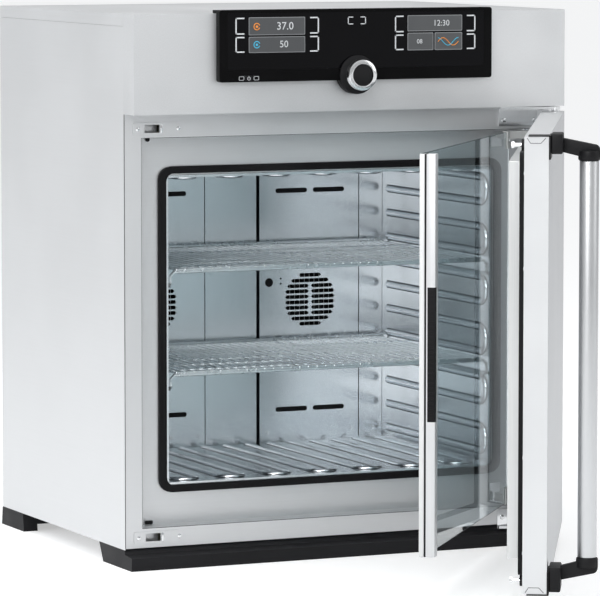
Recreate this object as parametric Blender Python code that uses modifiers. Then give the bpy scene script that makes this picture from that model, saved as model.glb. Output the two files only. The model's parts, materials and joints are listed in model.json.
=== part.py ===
# Refrigerated bench incubator with a main door and an inner glass door, in metres, +Z up.
# The origin lies on the bench, under the middle of the casing's front plane; +Y is the back.
# Door parts are modelled closed, and their empties then turn them to the open angle.

import bpy
import bmesh
from math import cos, pi, radians, sin, tan
from mathutils import Matrix, Vector

# Clearances
GAP = 0.0003
RUN = 0.0006
OVERSHOOT = 0.002

# Casing
CASE_WIDTH = 0.745
CASE_HEIGHT = 0.864
BODY_DEPTH = 0.540
SHEET = 0.0012
UNDERSIDE = 0.030
COVER_FLANGE = 0.019
RETURN_FLANGE = 0.014
PAN_RIM = 0.020
HALF = CASE_WIDTH / 2
INSIDE = HALF - SHEET - GAP
REAR_FACE = BODY_DEPTH - SHEET - GAP
REAR_INNER = REAR_FACE - SHEET
PAN_BACK = REAR_INNER - GAP

# Fascia above the doors
FASCIA_DEPTH = 0.0434
FASCIA_HEIGHT = 0.1545
FASCIA_BOTTOM = CASE_HEIGHT - FASCIA_HEIGHT
FASCIA_FRONT = -FASCIA_DEPTH
CABLE_HOLE_HALF = 0.040
CABLE_HOLE_HEIGHT = 0.030

# Front frame and its recess
FRAME_BORDER = 0.0295
FRAME_HEAD = 0.0375
FRAME_SILL = 0.032
FRAME_LIFT = 0.002
FRAME_RETURN = 0.020
RECESS_DEPTH = 0.043
RECESS_HALF = HALF - FRAME_BORDER
RECESS_BOTTOM = UNDERSIDE + FRAME_SILL
RECESS_TOP = FASCIA_BOTTOM - FRAME_HEAD
FRAME_BOTTOM = UNDERSIDE + FRAME_LIFT
FRAME_TOP = FASCIA_BOTTOM - GAP

# Chamber
CHAMBER_SIDE_STEP = 0.063
CHAMBER_SILL_STEP = 0.064
CHAMBER_HEAD_STEP = 0.066
CHAMBER_REAR_SPACE = 0.099
LINER = 0.001
LINER_RIM = 0.004
FAN_SPACE = 0.033
FOAM_CLEARANCE = 0.0065
FOAM_HEAD = 0.0035
CHAMBER_HALF = RECESS_HALF - CHAMBER_SIDE_STEP
CHAMBER_BOTTOM = RECESS_BOTTOM + CHAMBER_SILL_STEP
CHAMBER_TOP = RECESS_TOP - CHAMBER_HEAD_STEP
CHAMBER_BACK = BODY_DEPTH - CHAMBER_REAR_SPACE
LINER_END = CHAMBER_BACK + FAN_SPACE
BACK_SHEET = LINER_END - LINER
FOAM_TOP = FASCIA_BOTTOM - FOAM_HEAD

# Pressed ribs of the liner
RIB_RADIUS = 0.005
RIB_FIRST = 0.0182
RIB_LAST = 0.01465
RIB_PAIRS = 6
RIB_BEND_STEPS = 4
RIB_FRONT = 0.012
RIB_REAR_MARGIN = 0.023
RIB_PITCH = (CHAMBER_TOP - CHAMBER_BOTTOM - RIB_FIRST - RIB_LAST) / (2 * RIB_PAIRS - 1)
RIB_PAIR = 2 * RIB_PITCH
RIB_REAR = CHAMBER_BACK - RIB_REAR_MARGIN
FLOOR_RIB_WIDTH = 0.04065
FLOOR_RIB_PITCH = 0.080
FLOOR_RIB_FRONT = 0.018
FLOOR_RIB_MARGIN = 0.015
FLOOR_RIB_ROOM = 2 * (CHAMBER_HALF - FLOOR_RIB_MARGIN) - FLOOR_RIB_WIDTH
FLOOR_RIB_PAIRS = 1 + int(FLOOR_RIB_ROOM / FLOOR_RIB_PITCH)

# Chamber gasket
CHAMBER_GASKET_SIDE = 0.005
CHAMBER_GASKET_WIDTH = 0.013
CHAMBER_GASKET_PROUD = 0.005
CHAMBER_GASKET_MARGIN = 0.0045
CHAMBER_GASKET_RISE = 0.003
CHAMBER_GASKET_RADIUS = 0.020

# Fan panels, fan wheels and sensor
PANEL_SEAM = 0.006
PANEL_SEAM_X = 0.049
PANEL_SIDE_GAP = 0.0005
PANEL_RETURN = 0.026
FAN_X = 0.145
FAN_DROP = 0.0004
FAN_Z = (CHAMBER_BOTTOM + CHAMBER_TOP) / 2 - FAN_DROP
GRILLE_PITCH = 0.00915
GRILLE_SLOT = 0.0063
GRILLE_WEB = 0.004
GRILLE_ROWS = (0.0913, 0.0913, 0.0838, 0.0693, 0.041)
GRILLE_SPLIT = 0.080
DUCT_SLOT_RISE = 0.185
DUCT_SLOT_WIDTH = 0.058
DUCT_SLOT_OFFSET = 0.0345
WHEEL_RADIUS = 0.070
WHEEL_WIDTH = 0.015
WHEEL_FRONT = 0.0045
WHEEL_DISC = 0.002
WHEEL_HUB = 0.018
WHEEL_BLADES = 8
WHEEL_Y = CHAMBER_BACK + SHEET + WHEEL_FRONT
BLADE_THICKNESS = 0.0016
BLADE_INSET = 0.001
SPINDLE_RADIUS = 0.003
MOTOR_RADIUS = 0.022
SENSOR_X = 0.0695
SENSOR_RISE = 0.0307
SENSOR_Z = FAN_Z + SENSOR_RISE
SENSOR_RADIUS = 0.0072
SENSOR_LENGTH = 0.024

# Wire shelves
SHELF_SIDE_PLAY = 0.0015
SHELF_FRONT_MARGIN = 0.002
SHELF_REAR_MARGIN = 0.016
SHELF_HALF = CHAMBER_HALF - SHELF_SIDE_PLAY
SHELF_FRONT = RECESS_DEPTH + SHELF_FRONT_MARGIN
SHELF_REAR = CHAMBER_BACK - SHELF_REAR_MARGIN
SHELF_WIRES = 36
SHELF_WIRE = 0.0014
SHELF_FRAME_WIRE = 0.0027
SHELF_CORNER = 0.006
SHELF_DROP = 0.0225
SHELF_SIDE_SPACE = 0.010
SHELF_ARMS = (7, 3)

# Cooling unit
COOLER_FAN_X = 0.110
COOLER_FAN_DROP = 0.0006
COOLER_FAN_Z = FAN_Z - COOLER_FAN_DROP
COLD_BLOCK_HALF = 0.044
COLD_BLOCK_HEIGHT = 0.150
COLD_BLOCK_BOTTOM = COOLER_FAN_Z - COLD_BLOCK_HEIGHT / 2
COLD_BLOCK_TOP = COOLER_FAN_Z + COLD_BLOCK_HEIGHT / 2
COLD_FINS = 10
COLD_FIN = 0.003
COLD_FIN_ROOT = 0.004
COLD_FIN_REACH = 0.022
SINK_HALF = 0.185
SINK_HEIGHT = 0.230
SINK_BOTTOM = COOLER_FAN_Z - SINK_HEIGHT / 2
SINK_TOP = COOLER_FAN_Z + SINK_HEIGHT / 2
SINK_STANDOFF = 0.003
SINK_BASE = 0.006
SINK_DEPTH = 0.036
SINK_FINS = 24
SINK_FIN = 0.0024
SINK_ROOT = REAR_FACE + SINK_STANDOFF
SINK_TIPS = SINK_ROOT + SINK_DEPTH
COOLER_WHEEL_SPACE = 0.006
COOLER_WHEEL_Y = SINK_TIPS + COOLER_WHEEL_SPACE
COOLER_HALF = 0.260
COOLER_RISE = 0.015
COOLER_HEIGHT = 0.520
COOLER_BOTTOM = COOLER_FAN_Z + COOLER_RISE - COOLER_HEIGHT / 2
COOLER_TOP = COOLER_BOTTOM + COOLER_HEIGHT
COOLER_DEPTH = 0.0906
COVER_REAR = BODY_DEPTH + COOLER_DEPTH
COOLER_SLOTS = 7
COOLER_SLOT_PITCH = 0.018
COOLER_SLOT = 0.009
COOLER_GRILLE_RADIUS = 0.068
COOLER_MOTOR_MARGIN = 0.004

# Mains inlet
INLET_X = -0.300
INLET_DROP = 0.094
INLET_Z = CASE_HEIGHT - INLET_DROP
INLET_WIDTH = 0.028
INLET_HEIGHT = 0.020
INLET_DEPTH = 0.022
INLET_PROUD = 0.002
INLET_FLANGE = 0.004
INLET_FLANGE_THICKNESS = 0.003
INLET_WALL = 0.002
INLET_SOCKET = 0.014

# Bezel and display
BEZEL_HALF = 0.235
BEZEL_DROP = 0.106
BEZEL_ABOVE_TOP = 0.0055
BEZEL_THICKNESS = 0.0127
BEZEL_LIP_REACH = 0.030
BEZEL_LIP_SETBACK = 0.003
BEZEL_LIP_INSET = 0.0015
BEZEL_CORNER = 0.004
BEZEL_SIDE = 0.0132
BEZEL_FOOT = 0.0187
BEZEL_BOTTOM = CASE_HEIGHT - BEZEL_DROP
BEZEL_TOP = CASE_HEIGHT + BEZEL_ABOVE_TOP
BEZEL_BACK = FASCIA_FRONT - GAP
BEZEL_FRONT = BEZEL_BACK - BEZEL_THICKNESS
WINDOW_TOP_MARGIN = 0.0045
WINDOW_HALF = BEZEL_HALF - BEZEL_SIDE
WINDOW_BOTTOM = BEZEL_BOTTOM + BEZEL_FOOT
WINDOW_TOP = BEZEL_TOP - WINDOW_TOP_MARGIN
WINDOW_GLASS = 0.003
BOARD_THICKNESS = 0.0016
DISPLAY_LEFT = (-0.1855, -0.090)
DISPLAY_RIGHT = (0.087, 0.1825)
DISPLAY_DROP = 0.0062
DISPLAY_HEIGHT = 0.0548
DISPLAY_TOP = CASE_HEIGHT - DISPLAY_DROP
DISPLAY_BOTTOM = DISPLAY_TOP - DISPLAY_HEIGHT

# Control knob and power key
KNOB_X = -0.001
KNOB_RISE = 0.0085
KNOB_Z = BEZEL_BOTTOM + KNOB_RISE
KNOB_DISC_RADIUS = 0.0305
KNOB_DISC = 0.0045
KNOB_RING_RADIUS = 0.0245
KNOB_RING_DEPTH = 0.0165
KNOB_RING_CHAMFER = 0.0012
KNOB_CAP_RADIUS = 0.017
KNOB_CAP_DISH = 0.002
KNOB_TRAVEL = 0.002
SHAFT_RADIUS = 0.003
SHAFT_COLLAR = 0.006
SHAFT_COLLAR_LENGTH = 0.004
SHAFT_END = 0.006
DISC_FRONT = BEZEL_FRONT - GAP - KNOB_DISC
RING_BACK = DISC_FRONT - KNOB_TRAVEL - GAP
RING_WEB = 0.003
KEY_X = -0.1855
KEY_RISE = 0.0059
KEY_Z = BEZEL_BOTTOM + KEY_RISE
KEY_WIDTH = 0.012
KEY_HEIGHT = 0.007
KEY_TRAVEL = 0.0015

# Feet
FOOT_WIDTH = 0.1355
FOOT_FROM = HALF - FOOT_WIDTH
FOOT_FRONT = 0.029
FOOT_LIP_HEIGHT = 0.0207
FOOT_LIP_RISE = 0.0022
FOOT_BAND_SETBACK = 0.0014
FOOT_SLOPE = 0.0015
FOOT_DEPTH = 0.108
FOOT_TAPER = 0.017
REAR_RAIL_DEPTH = 0.095
REAR_RAIL_FRONT = BODY_DEPTH - REAR_RAIL_DEPTH
REAR_RAIL_INSET = 0.0205
REAR_RAIL_HALF = HALF - REAR_RAIL_INSET
REAR_RAIL_BOTTOM = 0.011
REAR_STUB_LAP = 0.004
REAR_STUB_FLARE = 0.006

# Main door
DOOR_ANGLE = 60.5
DOOR_AXIS_INSET = 0.0085
DOOR_AXIS_X = HALF - DOOR_AXIS_INSET
DOOR_AXIS_Y = -0.030
DOOR_FOOT_GAP = 0.005
DOOR_HEAD_GAP = 0.0089
DOOR_BOTTOM = UNDERSIDE + DOOR_FOOT_GAP
DOOR_TOP = FASCIA_BOTTOM - DOOR_HEAD_GAP
DOOR_INNER = 0.008
DOOR_OUTER = 0.0434
DOOR_GASKET_LAP = 0.004
DOOR_GASKET_HALF = RECESS_HALF + DOOR_GASKET_LAP
DOOR_GASKET_BOTTOM = RECESS_BOTTOM - DOOR_GASKET_LAP
DOOR_GASKET_TOP = RECESS_TOP + DOOR_GASKET_LAP
DOOR_GASKET_WIDTH = 0.014
DOOR_PAN_SIDE = 0.060
DOOR_PAN_FOOT = 0.0115
DOOR_PAN_HEAD = 0.012
DOOR_PAN_HALF = RECESS_HALF - DOOR_PAN_SIDE
DOOR_PAN_BOTTOM = RECESS_BOTTOM + DOOR_PAN_FOOT
DOOR_PAN_TOP = RECESS_TOP - DOOR_PAN_HEAD
DOOR_PAN_REACH = 0.0183
DOOR_EDGE_RADIUS = 0.0015

# Main door hinges
HINGE_PIN_RADIUS = 0.004
HINGE_PIN_DEPTH = 0.018
HINGE_LEG = 0.0027
HINGE_LEG_LENGTH = 0.088
HINGE_LEG_FROM = DOOR_AXIS_X - HINGE_LEG_LENGTH
HINGE_LEG_INSET = 0.001
HINGE_LEG_HEIGHT = 0.0267
HINGE_LEG_SPACE = 0.0013
HINGE_ARM = 0.004
HINGE_ARM_HALF = 0.0075
HINGE_ARM_DEPTH = 0.008
HINGE_KNOB_RADIUS = 0.007
LOWER_ARM_LIFT = 0.005

# Latches
LATCH_INSET = 0.018
LATCH_STEP = 0.014
LATCH_X = -RECESS_HALF + LATCH_INSET
LATCH_UPPER_Z = RECESS_TOP + LATCH_STEP
LATCH_LOWER_Z = RECESS_BOTTOM - LATCH_STEP
LATCH_PIVOT_Y = -0.025
LATCH_TIP_Y = 0.012
LATCH_SWING = 9.0
LATCH_PIN_RADIUS = 0.003
LATCH_PIN_TAIL = 0.005
LATCH_BARREL = 0.0009
LATCH_HEAD_RADIUS = 0.0052
LATCH_HEAD = 0.004
LATCH_BUSH_RADIUS = 0.0088
LATCH_BUSH_END = 0.0024
LATCH_BUSH_ROOT = 0.006
LATCH_BORE_REAR = 0.008
LATCH_BORE_STEP = 0.005
LATCH_BORE_SPACE = 0.0012
LATCH_BORE_END = 0.001
LATCH_BLOCK_OVERHANG = 0.003
LATCH_BLOCK_LAP = 0.013
LATCH_BLOCK_FROM = -HALF - LATCH_BLOCK_OVERHANG
LATCH_BLOCK_TO = LATCH_X + LATCH_BLOCK_LAP
LATCH_BLOCK_PROUD = 0.020
BLOCK_FACE = -DOOR_OUTER - LATCH_BLOCK_PROUD
LATCH_BLOCK_HEEL = 0.0105
LATCH_BLOCK_TOE = 0.010
LATCH_BLOCK_UPPER = 0.0185
LATCH_BLOCK_LOWER = 0.026
UPPER_ARM_RISE = 0.0045
LOWER_ARM_RISE = 0.0125
POCKET_HALF = 0.0105
POCKET_HEIGHT = 0.0095
POCKET_FLOOR = 0.002
PIVOT_HOLE_DEPTH = 0.0026
CORNER_CAP_PROUD = 0.00027
CORNER_CAP_LAP = 0.010
CORNER_CAP_REACH = 0.015

# Striker plates
STRIKER_WIDTH = 0.0825
STRIKER_HEIGHT = 0.019
STRIKER_LAP = 0.050
STRIKER_RIGHT = LATCH_X + STRIKER_LAP
STRIKER_THICKNESS = 0.0015
STRIKER_SLOT_WIDTH = 0.026
STRIKER_SLOT_HEIGHT = 0.0125
STRIKER_CORNER = 0.003

# Handle
HANDLE_STEP = 0.020
HANDLE_X = LATCH_X - HANDLE_STEP
HANDLE_Y = -0.101
HANDLE_PIVOT_BACK = 0.010
HANDLE_PIVOT_Y = -DOOR_OUTER - HANDLE_PIVOT_BACK
HANDLE_RADIUS = 0.014
HANDLE_TUBE_WALL = 0.002
HANDLE_SOCKET_RADIUS = 0.0162
HANDLE_SOCKET_HEIGHT = 0.024
HANDLE_SOCKET_FLOOR = 0.004
HANDLE_SPIGOT = 0.015
HANDLE_FOOT_DROP = 0.039
HANDLE_HEAD_DROP = 0.0215
HANDLE_BOTTOM = LATCH_LOWER_Z + HANDLE_FOOT_DROP
HANDLE_TOP = LATCH_UPPER_Z - HANDLE_HEAD_DROP
HANDLE_ARM_WIDTH = 0.013
HANDLE_ARM_HEIGHT = 0.016
HANDLE_ARM_ROOT = 0.006
HANDLE_ARM_STRAIGHT = 0.003

# Glass door
GLASS_ANGLE = 51.0
GLASS_AXIS_INSET = 0.013
GLASS_SIDE = 0.040
GLASS_RIM = 0.005
GLASS_AXIS_X = RECESS_HALF - GLASS_AXIS_INSET
GLASS_AXIS_Y = 0.010
GLASS_HALF = RECESS_HALF - GLASS_SIDE
GLASS_BOTTOM = RECESS_BOTTOM + GLASS_RIM
GLASS_TOP = RECESS_TOP - GLASS_RIM
GLASS_THICKNESS = 0.004
GLASS_CLEAR = 0.0025
GLASS_BACK = RECESS_DEPTH - CHAMBER_GASKET_PROUD - GLASS_CLEAR
GLASS_FRONT = GLASS_BACK - GLASS_THICKNESS
CHANNEL_WALL = 0.0014
CHANNEL_BACK = GLASS_BACK + GAP + CHANNEL_WALL
CHANNEL_FRONT = GLASS_FRONT - GAP - CHANNEL_WALL
RAIL_OVERHANG = 0.003
RAIL_WIDTH = 0.018
RAIL_FROM = GLASS_HALF + RAIL_OVERHANG
RAIL_TO = RAIL_FROM - RAIL_WIDTH
RAIL_FRONT = 0.013
RAIL_GROOVE = 0.003
RAIL_BACK = CHANNEL_FRONT - RAIL_GROOVE
GRIP_RISE = 0.0025
GRIP_LENGTH = 0.201
GRIP_BOTTOM = (GLASS_BOTTOM + GLASS_TOP) / 2 + GRIP_RISE - GRIP_LENGTH / 2
GRIP_TOP = GRIP_BOTTOM + GRIP_LENGTH
GRIP_DEPTH = 0.008
GRIP_PROUD = 0.0005

# Glass door hinges
CLAMP_WIDTH = 0.020
CLAMP_HEIGHT = 0.026
CLAMP_COVER = 0.0015
CLAMP_WALL = 0.002
CLAMP_FACE = 0.001
CLAMP_ARM_HEIGHT = 0.011
CLAMP_ARM_ROOT = 0.003
CLAMP_ARM_SHOULDER = 0.0045
CLAMP_PIN_RADIUS = 0.0025
CLAMP_PIN_REACH = 0.0105
CLAMP_BORE_REACH = 0.014
GLASS_ARM_HALF = 0.005
GLASS_BRACKET = 0.0025
GLASS_BRACKET_FRONT = 0.002
GLASS_BRACKET_BACK = 0.024
GLASS_TONGUE_HALF = 0.006
GLASS_TONGUE_BACK = 0.008
GLASS_TONGUE_CORNER = 0.003


def collection(name):
    made = bpy.data.collections.new(name)
    bpy.context.scene.collection.children.link(made)
    return made


def material(name, colour, roughness, metallic=0.0):
    made = bpy.data.materials.new(name)
    made.use_nodes = True
    shader = made.node_tree.nodes["Principled BSDF"]
    shader.inputs["Base Color"].default_value = (*colour, 1.0)
    shader.inputs["Roughness"].default_value = roughness
    shader.inputs["Metallic"].default_value = metallic
    return made


def link_object(name, mesh, location=(0, 0, 0)):
    obj = bpy.data.objects.new(name, mesh)
    obj.location = location
    PARTS.objects.link(obj)
    return obj


def mesh_object(name, bm, location=(0, 0, 0)):
    mesh = bpy.data.meshes.new(name)
    bm.to_mesh(mesh)
    bm.free()
    return link_object(name, mesh, location)


def paint(obj, finish):
    obj.data.materials.clear()
    obj.data.materials.append(finish)
    obj.data.shade_smooth()
    obj.data.set_sharp_from_angle(angle=radians(40))
    return obj


def add_bevel(obj, width, steps=2, angle=50):
    bevel = obj.modifiers.new("rounded edges", "BEVEL")
    bevel.width = width
    bevel.segments = steps
    bevel.limit_method = "ANGLE"
    bevel.angle_limit = radians(angle)
    return obj


def thicken(obj, thickness):
    wall = obj.modifiers.new("sheet", "SOLIDIFY")
    wall.thickness = thickness
    wall.offset = -1
    wall.use_even_offset = True
    return obj


# Boxes and sheet boxes
def box(name, low, high):
    low = Vector(low)
    high = Vector(high)
    size = high - low
    bm = bmesh.new()
    bmesh.ops.create_cube(bm, size=1.0, matrix=Matrix.Diagonal((*size, 1.0)))
    return mesh_object(name, bm, (low + high) / 2)


def sheet_box(name, low, high, open_sides, thickness=SHEET):
    obj = box(name, low, high)
    bm = bmesh.new()
    bm.from_mesh(obj.data)
    gone = [face for face in bm.faces if any(face.normal.dot(Vector(side)) > 0.9 for side in open_sides)]
    bmesh.ops.delete(bm, geom=gone, context="FACES")
    bm.to_mesh(obj.data)
    bm.free()
    return thicken(obj, thickness)


# Round bars and turned shapes
def rod(name, radius, start, end, sides=24):
    start = Vector(start)
    end = Vector(end)
    run = end - start
    bm = bmesh.new()
    bmesh.ops.create_cone(
        bm, cap_ends=True, segments=sides, radius1=radius, radius2=radius, depth=run.length,
        matrix=run.to_track_quat("Z", "Y").to_matrix().to_4x4())
    return mesh_object(name, bm, (start + end) / 2)


def turned(name, profile, steps=32):
    bm = bmesh.new()
    closed = profile[0] == profile[-1]
    points = [bm.verts.new((radius, 0, height)) for radius, height in (profile[:-1] if closed else profile)]
    for first, second in zip(points, points[1:]):
        bm.edges.new((first, second))
    if closed:
        bm.edges.new((points[-1], points[0]))
    obj = mesh_object(name, bm)
    screw = obj.modifiers.new("turned", "SCREW")
    screw.steps = steps
    screw.render_steps = steps
    screw.use_merge_vertices = True
    screw.merge_threshold = 0.00001
    return obj


# Flat outlines
def circle(x, y, radius, sides=24):
    return [(x + radius * cos(2 * pi * k / sides),
        y + radius * sin(2 * pi * k / sides)) for k in range(sides)]


def rounded(x_low, x_high, y_low, y_high, radius, steps=3):
    corners = (
        (x_high - radius, y_high - radius, 0), (x_low + radius, y_high - radius, 90),
        (x_low + radius, y_low + radius, 180), (x_high - radius, y_low + radius, 270))
    points = []
    for x, y, turn in corners:
        for k in range(steps + 1):
            angle = radians(turn + 90 * k / steps)
            points.append((x + radius * cos(angle), y + radius * sin(angle)))
    return points


def rectangle(x_low, x_high, y_low, y_high):
    return [(x_low, y_low), (x_high, y_low), (x_high, y_high), (x_low, y_high)]


def curve_mesh(curve_object):
    evaluated = curve_object.evaluated_get(bpy.context.evaluated_depsgraph_get())
    mesh = bpy.data.meshes.new_from_object(evaluated)
    bm = bmesh.new()
    bm.from_mesh(mesh)
    bmesh.ops.remove_doubles(bm, verts=bm.verts, dist=0.00001)
    bmesh.ops.recalc_face_normals(bm, faces=bm.faces)
    obj = mesh_object(curve_object.name + " solid", bm)
    obj.matrix_world = curve_object.matrix_world
    name = curve_object.name
    bpy.data.objects.remove(curve_object)
    obj.name = name
    return obj


TURNS = {
    "X": Matrix(((0, 0, 1), (1, 0, 0), (0, 1, 0))),
    "Y": Matrix(((1, 0, 0), (0, 0, -1), (0, 1, 0))),
    "Z": Matrix.Identity(3),
}


def plate(name, loops, axis, low, high):
    curve = bpy.data.curves.new(name, "CURVE")
    curve.dimensions = "2D"
    curve.fill_mode = "BOTH"
    curve.extrude = (high - low) / 2
    for loop in loops:
        spline = curve.splines.new("POLY")
        spline.points.add(len(loop) - 1)
        for point, (x, y) in zip(spline.points, loop):
            point.co = (x, y, 0, 1)
        spline.use_cyclic_u = True
    obj = link_object(name, curve)
    middle = (low + high) / 2
    place = {"X": (middle, 0, 0), "Y": (0, middle, 0), "Z": (0, 0, middle)}[axis]
    obj.matrix_world = Matrix.Translation(place) @ TURNS[axis].to_4x4()
    bpy.context.view_layer.update()
    return curve_mesh(obj)


def wire(name, points, radius, roundness=1, closed=False):
    curve = bpy.data.curves.new(name, "CURVE")
    curve.dimensions = "3D"
    curve.bevel_depth = radius
    curve.bevel_resolution = roundness
    curve.use_fill_caps = True
    spline = curve.splines.new("POLY")
    spline.points.add(len(points) - 1)
    for point, place in zip(spline.points, points):
        point.co = (*place, 1)
    spline.use_cyclic_u = closed
    obj = link_object(name, curve)
    bpy.context.view_layer.update()
    return curve_mesh(obj)


# Rectangular lofts for formed sheet: each ring is (x low, x high, z low, z high, y).
def loft(name, rings, cap_first=False, cap_last=False):
    bm = bmesh.new()
    loops = []
    for x_low, x_high, z_low, z_high, y in rings:
        loops.append([bm.verts.new((x, y, z)) for x, z in rectangle(x_low, x_high, z_low, z_high)])
    for near, far in zip(loops, loops[1:]):
        for k in range(4):
            bm.faces.new((near[k], near[k - 3], far[k - 3], far[k]))
    if cap_first:
        bm.faces.new(reversed(loops[0]))
    if cap_last:
        bm.faces.new(loops[-1])
    return mesh_object(name, bm)


def as_guide(obj):
    obj.hide_render = True
    obj.display_type = "WIRE"
    PARTS.objects.unlink(obj)
    CUTTERS.objects.link(obj)
    return obj


def boolean(obj, other, operation, solver="EXACT"):
    modifier = obj.modifiers.new(operation.lower(), "BOOLEAN")
    modifier.operation = operation
    modifier.object = as_guide(other)
    modifier.solver = solver
    return obj


def cut(obj, *others):
    for other in others:
        boolean(obj, other, "DIFFERENCE")
    return obj


def join(obj, *others):
    for other in others:
        boolean(obj, other, "UNION")
    return obj


def gather(name, pieces):
    bm = bmesh.new()
    for piece in pieces:
        bm.from_mesh(piece.data)
        bm.verts.ensure_lookup_table()
        fresh = bm.verts[-len(piece.data.vertices):]
        bmesh.ops.transform(bm, matrix=piece.matrix_basis, verts=fresh)
        bpy.data.objects.remove(piece)
    return mesh_object(name, bm)


PARTS = collection("refrigerated incubator")
CUTTERS = collection("cutters")

for old in list(bpy.data.objects):
    bpy.data.objects.remove(old)

BRUSHED = material("brushed steel", (0.62, 0.63, 0.64), 0.34, 1.0)
LINEN = material("linen finished steel", (0.60, 0.61, 0.62), 0.38, 1.0)
LINER_STEEL = material("liner steel", (0.58, 0.61, 0.63), 0.30, 1.0)
BRIGHT = material("bright steel", (0.78, 0.79, 0.80), 0.16, 1.0)
GALVANISED = material("galvanised steel", (0.45, 0.46, 0.47), 0.50, 1.0)
BLACK_PLASTIC = material("black plastic", (0.020, 0.020, 0.022), 0.42)
DARK_RUBBER = material("black rubber", (0.012, 0.012, 0.012), 0.65)
GLOSS_BLACK = material("black glass", (0.008, 0.008, 0.010), 0.06)
PALE_PLASTIC = material("pale plastic", (0.72, 0.73, 0.72), 0.45)
CLEAR_GLASS = material("clear glass", (0.55, 0.68, 0.68), 0.03)
FOAM = material("foam", (0.78, 0.70, 0.48), 0.9)
ALUMINIUM = material("aluminium", (0.70, 0.71, 0.72), 0.40, 1.0)
BOARD = material("circuit board", (0.03, 0.16, 0.07), 0.50)


# Casing
def make_side_panel(name, side):
    plan = [
        (HALF - SHEET, 0), (HALF, 0), (HALF, BODY_DEPTH), (HALF - RETURN_FLANGE, BODY_DEPTH),
        (HALF - RETURN_FLANGE, BODY_DEPTH - SHEET), (HALF - SHEET, BODY_DEPTH - SHEET)]
    plan = [(side * x, y) for x, y in plan]
    return paint(plate(name, [plan], "Z", UNDERSIDE, CASE_HEIGHT - COVER_FLANGE - GAP), BRUSHED)


def make_top_cover():
    cover = sheet_box(
        "top_cover", (-HALF, GAP, CASE_HEIGHT - COVER_FLANGE), (HALF, BODY_DEPTH, CASE_HEIGHT),
        [(0, 0, -1), (0, -1, 0)])
    return paint(cover, BRUSHED)


def cold_window(name, y_low, y_high, play):
    return box(
        name, (-COLD_BLOCK_HALF - play, y_low, COLD_BLOCK_BOTTOM - play),
        (COLD_BLOCK_HALF + play, y_high, COLD_BLOCK_TOP + play))


def make_rear_panel():
    panel = plate(
        "rear_panel", [rectangle(-INSIDE, INSIDE, UNDERSIDE, CASE_HEIGHT - SHEET - GAP)], "Y",
        REAR_INNER, REAR_FACE)
    inlet_hole = box(
        "inlet hole", (INLET_X - INLET_WIDTH / 2 - GAP, REAR_INNER - OVERSHOOT,
         INLET_Z - INLET_HEIGHT / 2 - GAP),
        (INLET_X + INLET_WIDTH / 2 + GAP, REAR_FACE + OVERSHOOT, INLET_Z + INLET_HEIGHT / 2 + GAP))
    cut(panel, cold_window("rear window", REAR_INNER - OVERSHOOT, REAR_FACE + OVERSHOOT, GAP), inlet_hole)
    return paint(panel, GALVANISED)


def make_base_pan():
    pan = sheet_box(
        "base_pan", (-INSIDE, FRAME_RETURN + GAP, UNDERSIDE), (INSIDE, PAN_BACK, UNDERSIDE + PAN_RIM),
        [(0, 0, 1), (0, -1, 0)])
    return paint(pan, GALVANISED)


def make_front_frame():
    mouth = CHAMBER_HALF + LINER_RIM + 2 * GAP
    mouth_low = CHAMBER_BOTTOM - LINER_RIM - 2 * GAP
    mouth_high = CHAMBER_TOP + LINER_RIM + 2 * GAP
    frame = loft("front_frame", [
        (-INSIDE, INSIDE, FRAME_BOTTOM, FRAME_TOP, FRAME_RETURN),
        (-INSIDE, INSIDE, FRAME_BOTTOM, FRAME_TOP, 0),
        (-RECESS_HALF, RECESS_HALF, RECESS_BOTTOM, RECESS_TOP, 0),
        (-RECESS_HALF, RECESS_HALF, RECESS_BOTTOM, RECESS_TOP, RECESS_DEPTH),
        (-mouth, mouth, mouth_low, mouth_high, RECESS_DEPTH)])
    thicken(frame, SHEET)
    for height in (LATCH_UPPER_Z, LATCH_LOWER_Z):
        cut(frame, box(
            "frame slot", (LATCH_X - STRIKER_SLOT_WIDTH / 2, -OVERSHOOT, height - STRIKER_SLOT_HEIGHT / 2),
            (LATCH_X + STRIKER_SLOT_WIDTH / 2, SHEET + OVERSHOOT, height + STRIKER_SLOT_HEIGHT / 2)))
    return paint(frame, BRUSHED)


def make_striker(name, height):
    left = STRIKER_RIGHT - STRIKER_WIDTH
    low = height - STRIKER_HEIGHT / 2
    outline = rounded(left, STRIKER_RIGHT, low, low + STRIKER_HEIGHT, STRIKER_CORNER)
    slot = rounded(
        LATCH_X - STRIKER_SLOT_WIDTH / 2, LATCH_X + STRIKER_SLOT_WIDTH / 2,
        height - STRIKER_SLOT_HEIGHT / 2, height + STRIKER_SLOT_HEIGHT / 2, STRIKER_CORNER / 2)
    return paint(plate(name, [outline, slot], "Y", -GAP - STRIKER_THICKNESS, -GAP), BRIGHT)


# Feet: one side profile serves the two front feet and the plinth between them.
def make_front_foot(name, x_low, x_high):
    top = UNDERSIDE - GAP
    profile = [
        (FOOT_DEPTH, top), (FOOT_BAND_SETBACK + FOOT_SLOPE, top), (-FOOT_BAND_SETBACK,
         FOOT_LIP_HEIGHT + FOOT_LIP_RISE),
        (-FOOT_FRONT, FOOT_LIP_HEIGHT), (-FOOT_FRONT + FOOT_SLOPE, 0), (FOOT_DEPTH - FOOT_TAPER, 0)]
    return paint(plate(name, [profile], "X", x_low, x_high), BLACK_PLASTIC)


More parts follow.
